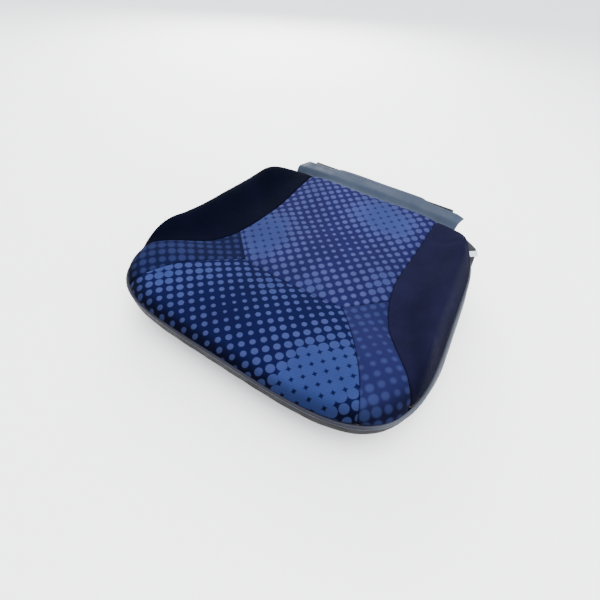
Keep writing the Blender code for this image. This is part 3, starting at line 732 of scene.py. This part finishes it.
foot = BAND_TURN - TURN_DOWN
band_end = PAN_HEIGHT - PAN_WALL
profile = np.array([
    (0.0, BAND_TOP), (0.0, BAND_TOP - 0.001), (0.0, BAND_TOP - 0.003),
    (0.0, BAND_TURN + 0.003), (0.0, BAND_TURN), (TURN_IN / 3, BAND_TURN - TURN_DOWN * 0.6),
    (TURN_IN, foot), (BAND_END, band_end),
])
profile = rounded(profile, 3)


def border_band(name, node, first, last, bulge_out=BAND_BULGE):
    """A closed band between two steps round the outline, which swells out at half its height."""
    angles = steps_between(first, last)
    angles[0] += GAP / HALF_WIDTH
    angles[-1] -= GAP / HALF_WIDTH
    inset, height = profile[:, 0], profile[:, 1]
    below = BAND_TOP - height
    tuck = TUCK * np.exp(-(below / TUCK_REACH) ** 2)
    to_rear = angles[-1] - angles
    slack = ease(np.minimum(angles - angles[0], to_rear - REAR_TIGHT) / SLACK_FADE)
    tight = ease((to_rear - REAR_TIGHT + 0.05) / 0.05)
    belly = np.sin(math.pi * np.clip(below / (BAND_TOP - BAND_TURN + TURN_DOWN), 0, 1))
    bulge = (BAND_BULGE * tight + (bulge_out - BAND_BULGE) * slack)[:, None] * belly[None, :]
    base = ring_point(angles[:, None], (inset + tuck)[None, :] - bulge, height[None, :])
    normals = grid_normals(base)
    side = np.minimum(angles - angles[0], angles[-1] - angles) * HALF_WIDTH
    ends = JOINT_ROLL * (1 - ease(side / 0.003))[:, None]
    ripple = 0.0002 * np.sin(angles * 37)[:, None] * np.sin(below * 300)[None, :]
    outer = base - normals * (ends + ripple)[..., None]
    inner = base - normals * BAND
    run = np.append(0, np.cumsum(np.linalg.norm(np.diff(profile, axis=0), axis=1)))
    around = np.append(0, np.cumsum(np.linalg.norm(np.diff(base[:, 0], axis=0), axis=1)))
    laid = np.stack(np.meshgrid(around, run, indexing="ij"), axis=-1)
    band = closed_cloth(name, outer, inner, laid)
    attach(band, "cushion")
    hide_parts(node)
    return band


band_front = border_band("band_front", "border_front", -HALF_TURN - CORNER_STEP, CORNER_STEP)
band_right = border_band("band_right", "border_right", CORNER_STEP, REAR_STEP, BAND_BULGE_RIGHT)
band_left = border_band("band_left", "border_left", HALF_TURN - REAR_STEP, HALF_TURN - CORNER_STEP)

# %% [markdown]
# ## Rear flap
# The flap is a strip of vinyl sewn along the cover's rear edge, and it turns up or down about that
# seam. Its front edge follows the cover, its middle stands up a little, and its other edges are
# hemmed: turned under and sewn, so they are thicker and end in a soft round. Its ends sag, and near
# them the hem is pulled back, so that the black strip shows past it. The cloth blends from the
# cushion's edge to the flap's own plane over a few millimetres.

# %% Rear flap
FLAP_HALF = 0.170
FLAP_LENGTH = 0.036
FLAP_THICK = 0.0025
FLAP_BULGE = 0.004
FLAP_TILT = math.radians(16)
FLAP_HINGE = np.array((0, REAR_CUT + 0.0018, 0.0930))
FLAP_SEAM = REAR_CUT + 0.0003 + FLAP_THICK / 2
FLAP_FREE = 0.015       # the flap leaves the cover's edge and lies in its own plane after this length
FLAP_SPREAD = 0.115     # its seam is this share longer at the left end than its free edge
FLAP_FLARE = 0.035      # and its free edge this share longer at the right end than its seam
FLAP_SHORT = 0.15       # near both ends the hem is pulled back by this share, and the strip under it shows
FLAP_DROOP = 0.009      # its right end hangs down by this, and its left end by less
FLAP_DROOP_START = 0.90
HEM = 0.0075
HEM_RISE = 0.0003
HEM_LINE = 0.0003

across = 2 * spaced(170) - 1
out = spaced(50)
u, v = np.meshgrid(across, out)
sideways = np.abs(u)
pulled = ease((sideways - 0.50) / 0.12) * ease((0.98 - sideways) / 0.08)
length = FLAP_LENGTH * (1 - FLAP_SHORT * pulled)
plane_y = FLAP_HINGE[1] + v * length * math.cos(FLAP_TILT)
bulge = FLAP_BULGE * np.cos(math.pi * u / 2) * np.sin(math.pi * v / 2)
plane_z = FLAP_HINGE[2] + v * length * math.sin(FLAP_TILT) + bulge * math.cos(FLAP_TILT)
flap_x = u * FLAP_HALF * (1 + FLAP_SPREAD * (1 - v) * ease(-2 * u) + FLAP_FLARE * v * ease(2 * u))
droop = FLAP_DROOP * np.where(u > 0, 1.0, 0.6)
plane_z = plane_z - droop * ease((sideways - FLAP_DROOP_START) / (1 - FLAP_DROOP_START)) * v
seam_y = np.full_like(flap_x, REAR_CUT - 0.0005)
seam_z = cover_top(flap_x, seam_y)[0] - valley(flap_x, seam_y) - ROLL - FLAP_THICK / 2
free = ease(v * FLAP_LENGTH / FLAP_FREE)
flap_z = seam_z + (plane_z - seam_z) * free
flap_y = FLAP_SEAM + (plane_y - FLAP_SEAM) * ease(v * FLAP_LENGTH / 0.004)
from_end = (1 - sideways) * FLAP_HALF
from_edge = np.minimum(from_end, (1 - v) * FLAP_LENGTH)
hem = HEM_RISE * ease((HEM + 0.001 - from_edge) / 0.0015)
stitch_line = HEM_LINE * np.exp(-((from_edge - HEM) / 0.0006) ** 2)
softness = 0.0005 * np.sin(46 * flap_x + 1) * np.sin(140 * v * FLAP_LENGTH)
base = np.stack([flap_x, flap_y, flap_z + softness], axis=-1)
normals = np.cross(np.gradient(base, axis=1), np.gradient(base, axis=0))
normals /= np.linalg.norm(normals, axis=2, keepdims=True)
half = np.sqrt(np.clip(1 - (1 - np.clip(from_edge / 0.0016, 0, 1)) ** 2, 0.02, 1))
lift = half * (FLAP_THICK / 2 + hem) - stitch_line
outer = base + normals * lift[..., None]
inner = base - normals * (half * (FLAP_THICK / 2) - GAP / 2)[..., None]
flap = closed_cloth("flap_cloth", outer, inner, np.stack([flap_x, v * FLAP_LENGTH], axis=-1))
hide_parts("rear_flap")
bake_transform(flap)

# %% [markdown]
# ## Corner tabs and the care label
# A loose woven tail hangs at each rear corner, and a white label is sewn into the right one. Each
# starts as a copy of its solid, because that has the right outline. Its corners are rounded with a
# bevel, it is divided finely, and then a slow wave and a curl bend it like cloth.

# %% Tabs and label
TAB_CURL = 0.0022
CORNER_WAY = np.array((0.76, -0.65, 0.0))   # the way the right rear corner is cut off


def soft_copy(node, name, corner, cuts, body, curl, slide=0.0):
    """A copy of a flat solid with rounded corners, finely divided and bent about its middle.

    slide moves it along the line that it hinges about, which leaves its hinge where it was.
    """
    obj = copy_of(node, name)
    in_edit_mode(obj, lambda: bpy.ops.mesh.dissolve_limited(angle_limit=math.radians(5)))
    bevel = obj.modifiers.new("round corners", "BEVEL")
    bevel.width = corner
    bevel.segments = 3
    bevel.limit_method = "ANGLE"
    apply_all(obj)
    in_edit_mode(
        obj,
        lambda: bpy.ops.mesh.quads_convert_to_tris(),
        lambda: bpy.ops.mesh.subdivide(number_cuts=cuts),
        outwards,
    )
    points = points_of(obj)
    middle = points.mean(axis=0)
    axes = np.linalg.svd(points - middle, full_matrices=False)[2]
    local = (points - middle) @ axes.T
    span = np.abs(local).max(axis=0)
    bend = curl * ((local[:, 0] / span[0]) ** 2 - 0.4 + 0.25 * np.sin(5 * local[:, 1] / span[1]))
    set_points(obj, points + bend[:, None] * axes[2] + slide * CORNER_WAY)
    obj.data.shade_smooth()
    sharp_over(obj, 50)
    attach(obj, body)
    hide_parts(node)
    size = 2 * span
    area = float(sum(face.area for face in obj.data.polygons)) / 2
    area = min(area, float(size[0] * size[1]))
    print(name, "size", np.round(size, 4))
    return obj


tabs = [
    soft_copy(f"corner_tab_{side}", f"tab_{side}_tape", 0.0004, 6, f"tab_{side}", TAB_CURL,
              slide)
    for side, slide in (("right", -0.001), ("left", 0.0))
]
label = soft_copy("care_label", "label_tape", 0.00015, 5, "label", 0.0005, 0.005)

# %% [markdown]
# ## Building materials from nodes
# Every finish is made of shader nodes, so it has no picture files and fits any size. Two small helpers
# keep the node graphs short: one adds a node and feeds its inputs in order, and one starts a group
# with named inputs and outputs.

# %% Helpers for nodes


def put(tree, kind, *feeds, **settings):
    """A node of this kind. A feed is a socket to link or a value, in the order of its inputs."""
    node = tree.nodes.new(kind)
    node.location.x = 180 * len(tree.nodes)
    for name, value in settings.items():
        setattr(node, name, value)
    for socket, feed in zip(node.inputs, feeds):
        if isinstance(feed, bpy.types.NodeSocket):
            tree.links.new(feed, socket)
        elif feed is not None:
            socket.default_value = feed
    return node


def maths(tree, operation, *feeds):
    return put(tree, "ShaderNodeMath", *feeds, operation=operation).outputs[0]


def vector_maths(tree, operation, *feeds):
    node = put(tree, "ShaderNodeVectorMath", *feeds, operation=operation)
    return node.outputs["Value" if operation in ("LENGTH", "DOT_PRODUCT") else "Vector"]


def remap(tree, value, low, high, to_low=0.0, to_high=1.0, kind="SMOOTHSTEP"):
    feeds = (value, low, high, to_low, to_high)
    return put(tree, "ShaderNodeMapRange", *feeds, interpolation_type=kind).outputs[0]


def blend_colours(tree, share, first, second, kind="MIX"):
    return put(tree, "ShaderNodeMixRGB", share, first, second, blend_type=kind).outputs[0]


def new_group(name, inputs, outputs):
    """A shader group, the sockets that come into it, and the node that takes what it puts out."""
    group = bpy.data.node_groups.new(name, "ShaderNodeTree")
    for socket_name, value in inputs.items():
        kind = "NodeSocketFloat" if isinstance(value, (int, float)) else "NodeSocketVector"
        socket = group.interface.new_socket(socket_name, in_out="INPUT", socket_type=kind)
        socket.default_value = value
    for socket_name in outputs:
        group.interface.new_socket(socket_name, in_out="OUTPUT", socket_type="NodeSocketFloat")
    return group, group.nodes.new("NodeGroupInput").outputs, group.nodes.new("NodeGroupOutput").inputs


def use(tree, group, **feeds):
    """The outputs of a group placed in a material. Names of inputs have _ for a space."""
    node = put(tree, "ShaderNodeGroup", node_tree=group)
    for name, feed in feeds.items():
        socket = node.inputs[name.replace("_", " ")]
        if isinstance(feed, bpy.types.NodeSocket):
            tree.links.new(feed, socket)
        else:
            socket.default_value = feed
    return node.outputs


# %% [markdown]
# ## Shared effects
# Five effects serve many finishes: the dot lattice, a plain weave, fine ribs, the pebbled grain of
# vinyl and moulded plastic, and a slow mottle for dust and uneven dye. Each is a group that puts out
# a mask or a height between 0 and 1.

# %% Dot lattice
dot_lattice, given, result = new_group(
    "dot lattice",
    {"Vector": (0, 0, 0), "Pitch": 0.015, "Turn": 0.0, "Phase": (0, 0, 0), "Swell": 0.3,
     "Smallest": 0.15, "Largest": 0.60, "Softness": 0.05},
    ["Dots", "Core"],
)
turned = put(dot_lattice, "ShaderNodeVectorRotate", given["Vector"], None, None, given["Turn"],
             rotation_type="Z_AXIS").outputs[0]
counted = vector_maths(dot_lattice, "DIVIDE", turned, given["Pitch"])
shifted = vector_maths(dot_lattice, "ADD", counted, given["Phase"])
cell = vector_maths(dot_lattice, "FRACTION", shifted)
from_middle = vector_maths(dot_lattice, "SUBTRACT", cell, (0.5, 0.5, 0.0))
distance = vector_maths(dot_lattice, "LENGTH", vector_maths(dot_lattice, "MULTIPLY", from_middle, (1, 1, 0)))
radius = remap(dot_lattice, given["Swell"], 0.0, 1.0, given["Smallest"], given["Largest"], "LINEAR")
just_in = maths(dot_lattice, "SUBTRACT", radius, given["Softness"])
just_out = maths(dot_lattice, "ADD", radius, given["Softness"])
dot_lattice.links.new(remap(dot_lattice, distance, just_in, just_out, 1.0, 0.0), result["Dots"])
dot_lattice.links.new(remap(dot_lattice, distance, 0.0, radius, 1.0, 0.0), result["Core"])

# %% Weave, ribs, grain and mottle
TURN = 2 * math.pi

weave, given, result = new_group("weave", {"Vector": (0, 0, 0), "Pitch": 0.001}, ["Height"])
phase = vector_maths(weave, "DIVIDE", given["Vector"], given["Pitch"])
parts = put(weave, "ShaderNodeSeparateXYZ", vector_maths(weave, "MULTIPLY", phase, (TURN,) * 3)).outputs
threads = [maths(weave, "SINE", part) for part in parts]
woven = maths(weave, "MULTIPLY", threads[0], threads[1])
deeper = maths(weave, "ADD", woven, maths(weave, "MULTIPLY", threads[2], 0.5))
weave.links.new(maths(weave, "MULTIPLY_ADD", deeper, 0.33, 0.5), result["Height"])

ribs, given, result = new_group("ribs", {"Vector": (0, 0, 0), "Pitch": 0.002, "Turn": 0.0}, ["Height"])
turned = put(ribs, "ShaderNodeVectorRotate", given["Vector"], None, None, given["Turn"],
             rotation_type="Z_AXIS").outputs[0]
counted = put(ribs, "ShaderNodeSeparateXYZ", vector_maths(ribs, "DIVIDE", turned, given["Pitch"])).outputs[1]
wave = maths(ribs, "SINE", maths(ribs, "MULTIPLY", counted, TURN))
ribs.links.new(maths(ribs, "MULTIPLY_ADD", wave, 0.5, 0.5), result["Height"])

grain, given, result = new_group("grain", {"Vector": (0, 0, 0), "Scale": 900.0}, ["Height"])
cells = put(grain, "ShaderNodeTexVoronoi", given["Vector"], None, given["Scale"], feature="F1").outputs[0]
fine = put(grain, "ShaderNodeTexNoise", given["Vector"], None, given["Scale"], 3.0).outputs[0]
pebbled = maths(grain, "MULTIPLY_ADD", cells, 0.6, maths(grain, "MULTIPLY", fine, 0.4))
grain.links.new(pebbled, result["Height"])

mottle, given, result = new_group(
    "mottle", {"Vector": (0, 0, 0), "Scale": 20.0, "Low": 0.9, "High": 1.1}, ["Value"])
slow = put(mottle, "ShaderNodeTexNoise", given["Vector"], None, given["Scale"], 4.0, 0.6).outputs[0]
mottle.links.new(remap(mottle, slow, 0.3, 0.7, given["Low"], given["High"], "LINEAR"), result["Value"])
print("groups:", [group.name for group in bpy.data.node_groups])

# %% Starting a finish
# The painted edge shade of the cloth runs between these shares of the way over the cushion's rounded edge.
EDGE_START, EDGE_END = 0.15, 0.90   # shares of the way over the cushion's rounded edge


def new_finish(name, roughness, **sockets):
    """A material with a Principled shader. Values that are the same all over are set on it directly."""
    material = bpy.data.materials.new(name)
    material.use_nodes = True
    tree = material.node_tree
    shader = tree.nodes["Principled BSDF"]
    shader.inputs["Roughness"].default_value = roughness
    for socket, value in sockets.items():
        shader.inputs[socket.replace("_", " ")].default_value = value
    place = put(tree, "ShaderNodeTexCoord").outputs["Object"]
    return material, tree, shader, place


def finish_with(tree, shader, colour, height=None, depth=0.0002, roughness=None):
    """Links a colour, a height and a roughness to the shader."""
    tree.links.new(colour, shader.inputs["Base Color"])
    if height is not None:
        bump = put(tree, "ShaderNodeBump")
        bump.inputs["Distance"].default_value = depth
        tree.links.new(height, bump.inputs["Height"])
        tree.links.new(bump.outputs[0], shader.inputs["Normal"])
    if roughness is not None:
        tree.links.new(roughness, shader.inputs["Roughness"])


def cloth_place(tree):
    """The place on the flat cloth, which the pattern of a woven piece follows."""
    return put(tree, "ShaderNodeUVMap", uv_map="cloth").outputs[0]


def painted_edge_shade(tree, darkest):
    """A painted shade: 1 on top, down to darkest where the cloth has rolled over the edge and turns from the
    lamps.
    """
    rolled = put(tree, "ShaderNodeAttribute", attribute_name="rolled").outputs["Fac"]
    return remap(tree, rolled, EDGE_START, EDGE_END, 1.0, darkest)


def uneven_shade(tree, place, scale, low, high, speck=None, gain=0.0, least=1.0):
    """A factor for a colour: a slow mottle, times speck * gain + least where a speck is given."""
    slow_part = use(tree, mottle, Vector=place, Scale=scale, Low=low, High=high)["Value"]
    if speck is None:
        return slow_part
    return maths(tree, "MULTIPLY", slow_part, maths(tree, "MULTIPLY_ADD", speck, gain, least))


def times(tree, colour, factor):
    """A colour, or another socket's colour, darkened or lightened by a factor."""
    return blend_colours(tree, 1.0, colour, factor, "MULTIPLY")


def dress(material, *pieces):
    for piece in pieces:
        piece.data.materials.clear()
        piece.data.materials.append(material)


def dress_nodes(material, *names):
    """A better finish in the material slots of solids that stay as they are."""
    for name in names:
        for slot in nodes[name].material_slots:
            slot.material = material


# %% [markdown]
# ## Dotted cloth
# The cloth is navy with pale blue dots, and its lattice lies slantwise across the seat. The pattern
# follows the cloth, so the shader reads the place on the flat cloth from the UV map and the swell from
# the points. Yarn colours, not paint, make the dots: they are ribbed and slightly raised. Each panel
# comes from another roll and lies another way up, so the four cloths differ in tone and contrast. Where
# a panel rolls down to the piping it turns away from the lamps, and a painted shade darkens its ground
# more than its dots.

# %% Dotted cloth
LATTICE_TURN = -(math.pi / 4 + 0.04)
DOT_PITCH = 0.015
SMALLEST, LARGEST = 0.17, 0.56      # the dots' radius, in pitches
# How dark the painted shade makes the dotted cloth's ground where it rolls over the edge.
EDGE_PAINTED_SHADE = 0.22


def dotted_cloth(name, ground, dots, deep, softness, ribbed, phase):
    """Cloth with dots from one yarn where they are small to a deeper one where they run together."""
    material, tree, shader, place = new_finish(
        name, 0.85, Sheen_Weight=0.008, Sheen_Roughness=0.5, Sheen_Tint=tint(150, 165, 230),
        Specular_IOR_Level=0.02)
    flat = cloth_place(tree)
    swell = put(tree, "ShaderNodeAttribute", attribute_name="swell").outputs["Fac"]
    lattice = use(tree, dot_lattice, Vector=flat, Pitch=DOT_PITCH, Turn=LATTICE_TURN, Phase=phase,
                  Swell=swell, Smallest=SMALLEST, Largest=LARGEST, Softness=softness)
    rib = use(tree, ribs, Vector=flat, Pitch=0.0023, Turn=LATTICE_TURN)["Height"]
    knit = use(tree, weave, Vector=flat, Pitch=0.0016)["Height"]
    yarn = maths(tree, "MULTIPLY_ADD", rib, -ribbed, 1.0)
    cover = maths(tree, "MULTIPLY", lattice["Dots"], yarn)
    # A painted shade where the cloth rolls over the edge: it darkens the ground fully and the dots by less.
    rolled = painted_edge_shade(tree, EDGE_PAINTED_SHADE)
    yarns = blend_colours(tree, swell, tint(*dots), tint(*deep))
    yarns = times(tree, yarns, maths(tree, "MULTIPLY_ADD", rolled, 0.6, 0.4))
    speck = uneven_shade(tree, place, 9.0, 0.82, 1.15, knit, 0.30, 0.85)
    colour = times(tree, blend_colours(tree, cover, times(tree, tint(*ground), rolled), yarns), speck)
    height = maths(tree, "MULTIPLY_ADD", lattice["Dots"], 0.5, maths(tree, "MULTIPLY", knit, 0.5))
    finish_with(tree, shader, colour, height, 0.0003)
    return material


MIDDLE, OFFSET = (0.5, 0.5, 0), (0.1, 0.4, 0)
for piece, name, ground, dots, deep, softness, ribbed, phase in (
    (centre, "dotted cloth of the centre", (14, 15, 47), (47, 50, 84), (31, 39, 74), 0.10, 0.10, MIDDLE),
    (front, "dotted cloth of the front", (4, 6, 35), (41, 47, 81), (28, 39, 76), 0.05, 0.34, MIDDLE),
    (corner_left, "left corner cloth", (5, 8, 31), (20, 25, 53), (20, 25, 53), 0.14, 0.05, OFFSET),
    (corner_right, "right corner cloth", (16, 18, 48), (27, 31, 62), (28, 36, 68), 0.14, 0.05, OFFSET),
):
    dress(dotted_cloth(name, ground, dots, deep, softness, ribbed, phase), piece)

# %% [markdown]
# ## Plain navy cloth
# The bolsters are a flat woven cloth in very dark navy. Its colour hardly shows by itself. What shows
# is the soft sheen of its fibres, which is strongest where the cloth turns away from the viewer. The
# right bolster, whose inner slope faces the main lamp, is painted paler and given more sheen than the
# left one, as painted light, and the left one is painted darker as painted shade. Where the cloth rolls
# over the edge it is darkened too, as painted shade.

# %% Plain navy cloth
# How dark the painted shade makes the bolsters where they roll over the edge.
NAVY_EDGE_PAINTED_SHADE = 0.5


def navy_cloth(name, colour, sheen):
    material, tree, shader, place = new_finish(
        name, 0.9, Sheen_Weight=sheen, Sheen_Roughness=0.45, Sheen_Tint=tint(120, 125, 195),
        Specular_IOR_Level=0.02)
    knit = use(tree, weave, Vector=cloth_place(tree), Pitch=0.0013)["Height"]
    shade = uneven_shade(tree, place, 14.0, 0.75, 1.25, knit, 0.4, 0.8)
    # Where the cloth rolls over the edge it gets a painted shade.
    shade = maths(tree, "MULTIPLY", painted_edge_shade(tree, NAVY_EDGE_PAINTED_SHADE), shade)
    finish_with(tree, shader, times(tree, tint(*colour), shade), knit, 0.00025)
    return material


# Painted shade on the left bolster, darker and with less sheen, and painted light on the right one, paler and
# with more sheen.
dress(navy_cloth("navy cloth, painted shade, left", (2, 3, 13), 0.004), bolster_left)
dress(navy_cloth("navy cloth, painted light, right", (11, 11, 29), 0.010), bolster_right)

# %% [markdown]
# ## Vinyl
# Coated vinyl has a fine pebbled grain, a satin gloss, and dust and scuffs that make it uneven. The
# front of the border is painted a darker grey than its sides: painted shade on the front, which faces
# away from the main lamp, and painted light on the sides. The flap is bluer. The piping is dark too,
# but on the right side it is painted pale, a painted highlight where it catches the light.

# %% Vinyl finishes
# The piping's painted highlight on the cushion's right side fades in between these x.
HIGHLIGHT_FROM, HIGHLIGHT_TO = 0.20, 0.24


def vinyl(name, colour, roughness, lit_colour=None):
    """A vinyl finish. The last argument is the colour of a painted highlight that it turns to on the
    cushion's right side.
    """
    material, tree, shader, place = new_finish(name, roughness, Specular_IOR_Level=0.15)
    rightwards = put(tree, "ShaderNodeSeparateXYZ", place).outputs[0]
    # Rightwards the colour blends to a painted highlight, where the piping catches the light.
    painted_highlight = remap(tree, rightwards, HIGHLIGHT_FROM, HIGHLIGHT_TO)
    base = blend_colours(tree, painted_highlight, tint(*colour), tint(*(lit_colour or colour)))
    pebbles = use(tree, grain, Vector=place, Scale=1100.0)["Height"]
    speck = uneven_shade(tree, place, 16.0, 0.86, 1.12, pebbles, 0.25, 0.87)
    gloss = uneven_shade(tree, place, 45.0, roughness - 0.08, roughness + 0.12)
    finish_with(tree, shader, times(tree, base, speck), pebbles, 0.0002, gloss)
    return material


# The front border is painted darker as painted shade, and the side borders lighter as painted light for the
# light they catch at a grazing angle.
dress(vinyl("front border vinyl, painted shade", (11, 12, 15), 0.6), band_front)
dress(vinyl("side border vinyl, painted light", (28, 31, 38), 0.5), band_left, band_right)
dress(vinyl("flap vinyl", (33, 42, 56), 0.6), flap)
# The piping is painted pale on the right as a painted highlight.
dress(vinyl("piping vinyl, painted highlight", (20, 21, 32), 0.5, (50, 54, 62)), piping)

# %% [markdown]
# ## Foam, tape and label
# Moulded foam is cream with a skin full of pores. The tabs and the wires' sleeves are woven tape with
# a clear rib, and the label is a close white weave that is left blank.

# %% Foam and woven finishes
foam_finish, tree, shader, place = new_finish(
    "foam skin", 0.9, Subsurface_Weight=0.15, Subsurface_Radius=(0.004, 0.003, 0.002), Specular_IOR_Level=0.2)
pores = use(tree, grain, Vector=place, Scale=420.0)["Height"]
shade = uneven_shade(tree, place, 10.0, 0.85, 1.08, remap(tree, pores, 0.15, 0.45, 0.7, 1.0), 1.0, 0.0)
finish_with(tree, shader, times(tree, tint(190, 172, 130), shade), pores, 0.0005)
dress(foam_finish, foam)


def tape(name, colour, pitch):
    material, tree, shader, place = new_finish(name, 0.85, Sheen_Weight=0.1, Specular_IOR_Level=0.2)
    woven = use(tree, weave, Vector=place, Pitch=pitch)["Height"]
    shade = uneven_shade(tree, place, 60.0, 0.85, 1.1, woven, 0.5, 0.75)
    finish_with(tree, shader, times(tree, tint(*colour), shade), woven, 0.0003)
    return material


dress(tape("grey tape", (34, 36, 40), 0.0016), *tabs)
dress(tape("white label tape", (200, 202, 210), 0.0009), label)
dress_nodes(tape("sleeve tape", (168, 168, 164), 0.0016), *[n for n in nodes if "sleeve" in n])

# %% [markdown]
# ## Plastic and steel
# The pan, the hook profiles and the strip under the flap are black moulded plastic: a spark-eroded
# grain, scuffed lighter in patches. The wires are drawn spring steel with fine lines along them, and
# the bushes and hog rings are zinc plated, which is duller and a little yellow.

# %% Plastic and steel
plastic, tree, shader, place = new_finish("black moulded plastic", 0.5, Specular_IOR_Level=0.12)
texture = use(tree, grain, Vector=place, Scale=1500.0)["Height"]
scuffs = uneven_shade(tree, place, 35.0, 0.0, 1.0)
colour = blend_colours(tree, maths(tree, "MULTIPLY", scuffs, 0.5), tint(3, 3, 4), tint(10, 10, 11))
finish_with(tree, shader, colour, texture, 0.00012, remap(tree, scuffs, 0.0, 1.0, 0.42, 0.62))
dress_nodes(plastic, "seat_pan", "retainer_front", "retainer_left", "retainer_right", "flap_retainer")


def steel(name, colour, roughness, scale):
    material, tree, shader, place = new_finish(name, roughness, Metallic=1.0)
    lines = use(tree, grain, Vector=place, Scale=scale)["Height"]
    gloss = uneven_shade(tree, place, 150.0, roughness - 0.08, roughness + 0.15)
    metal = times(tree, tint(*colour), uneven_shade(tree, place, 90.0, 0.75, 1.1))
    finish_with(tree, shader, metal, lines, 0.00005, gloss)
    return material


dress_nodes(steel("spring wire", (196, 196, 198), 0.3, 2500.0), *[n for n in nodes if "_wire_" in n])
plated = [n for n in nodes if n.startswith(("hog_ring", "pan_insert"))]
dress_nodes(steel("zinc plate", (204, 198, 180), 0.38, 900.0), *plated)
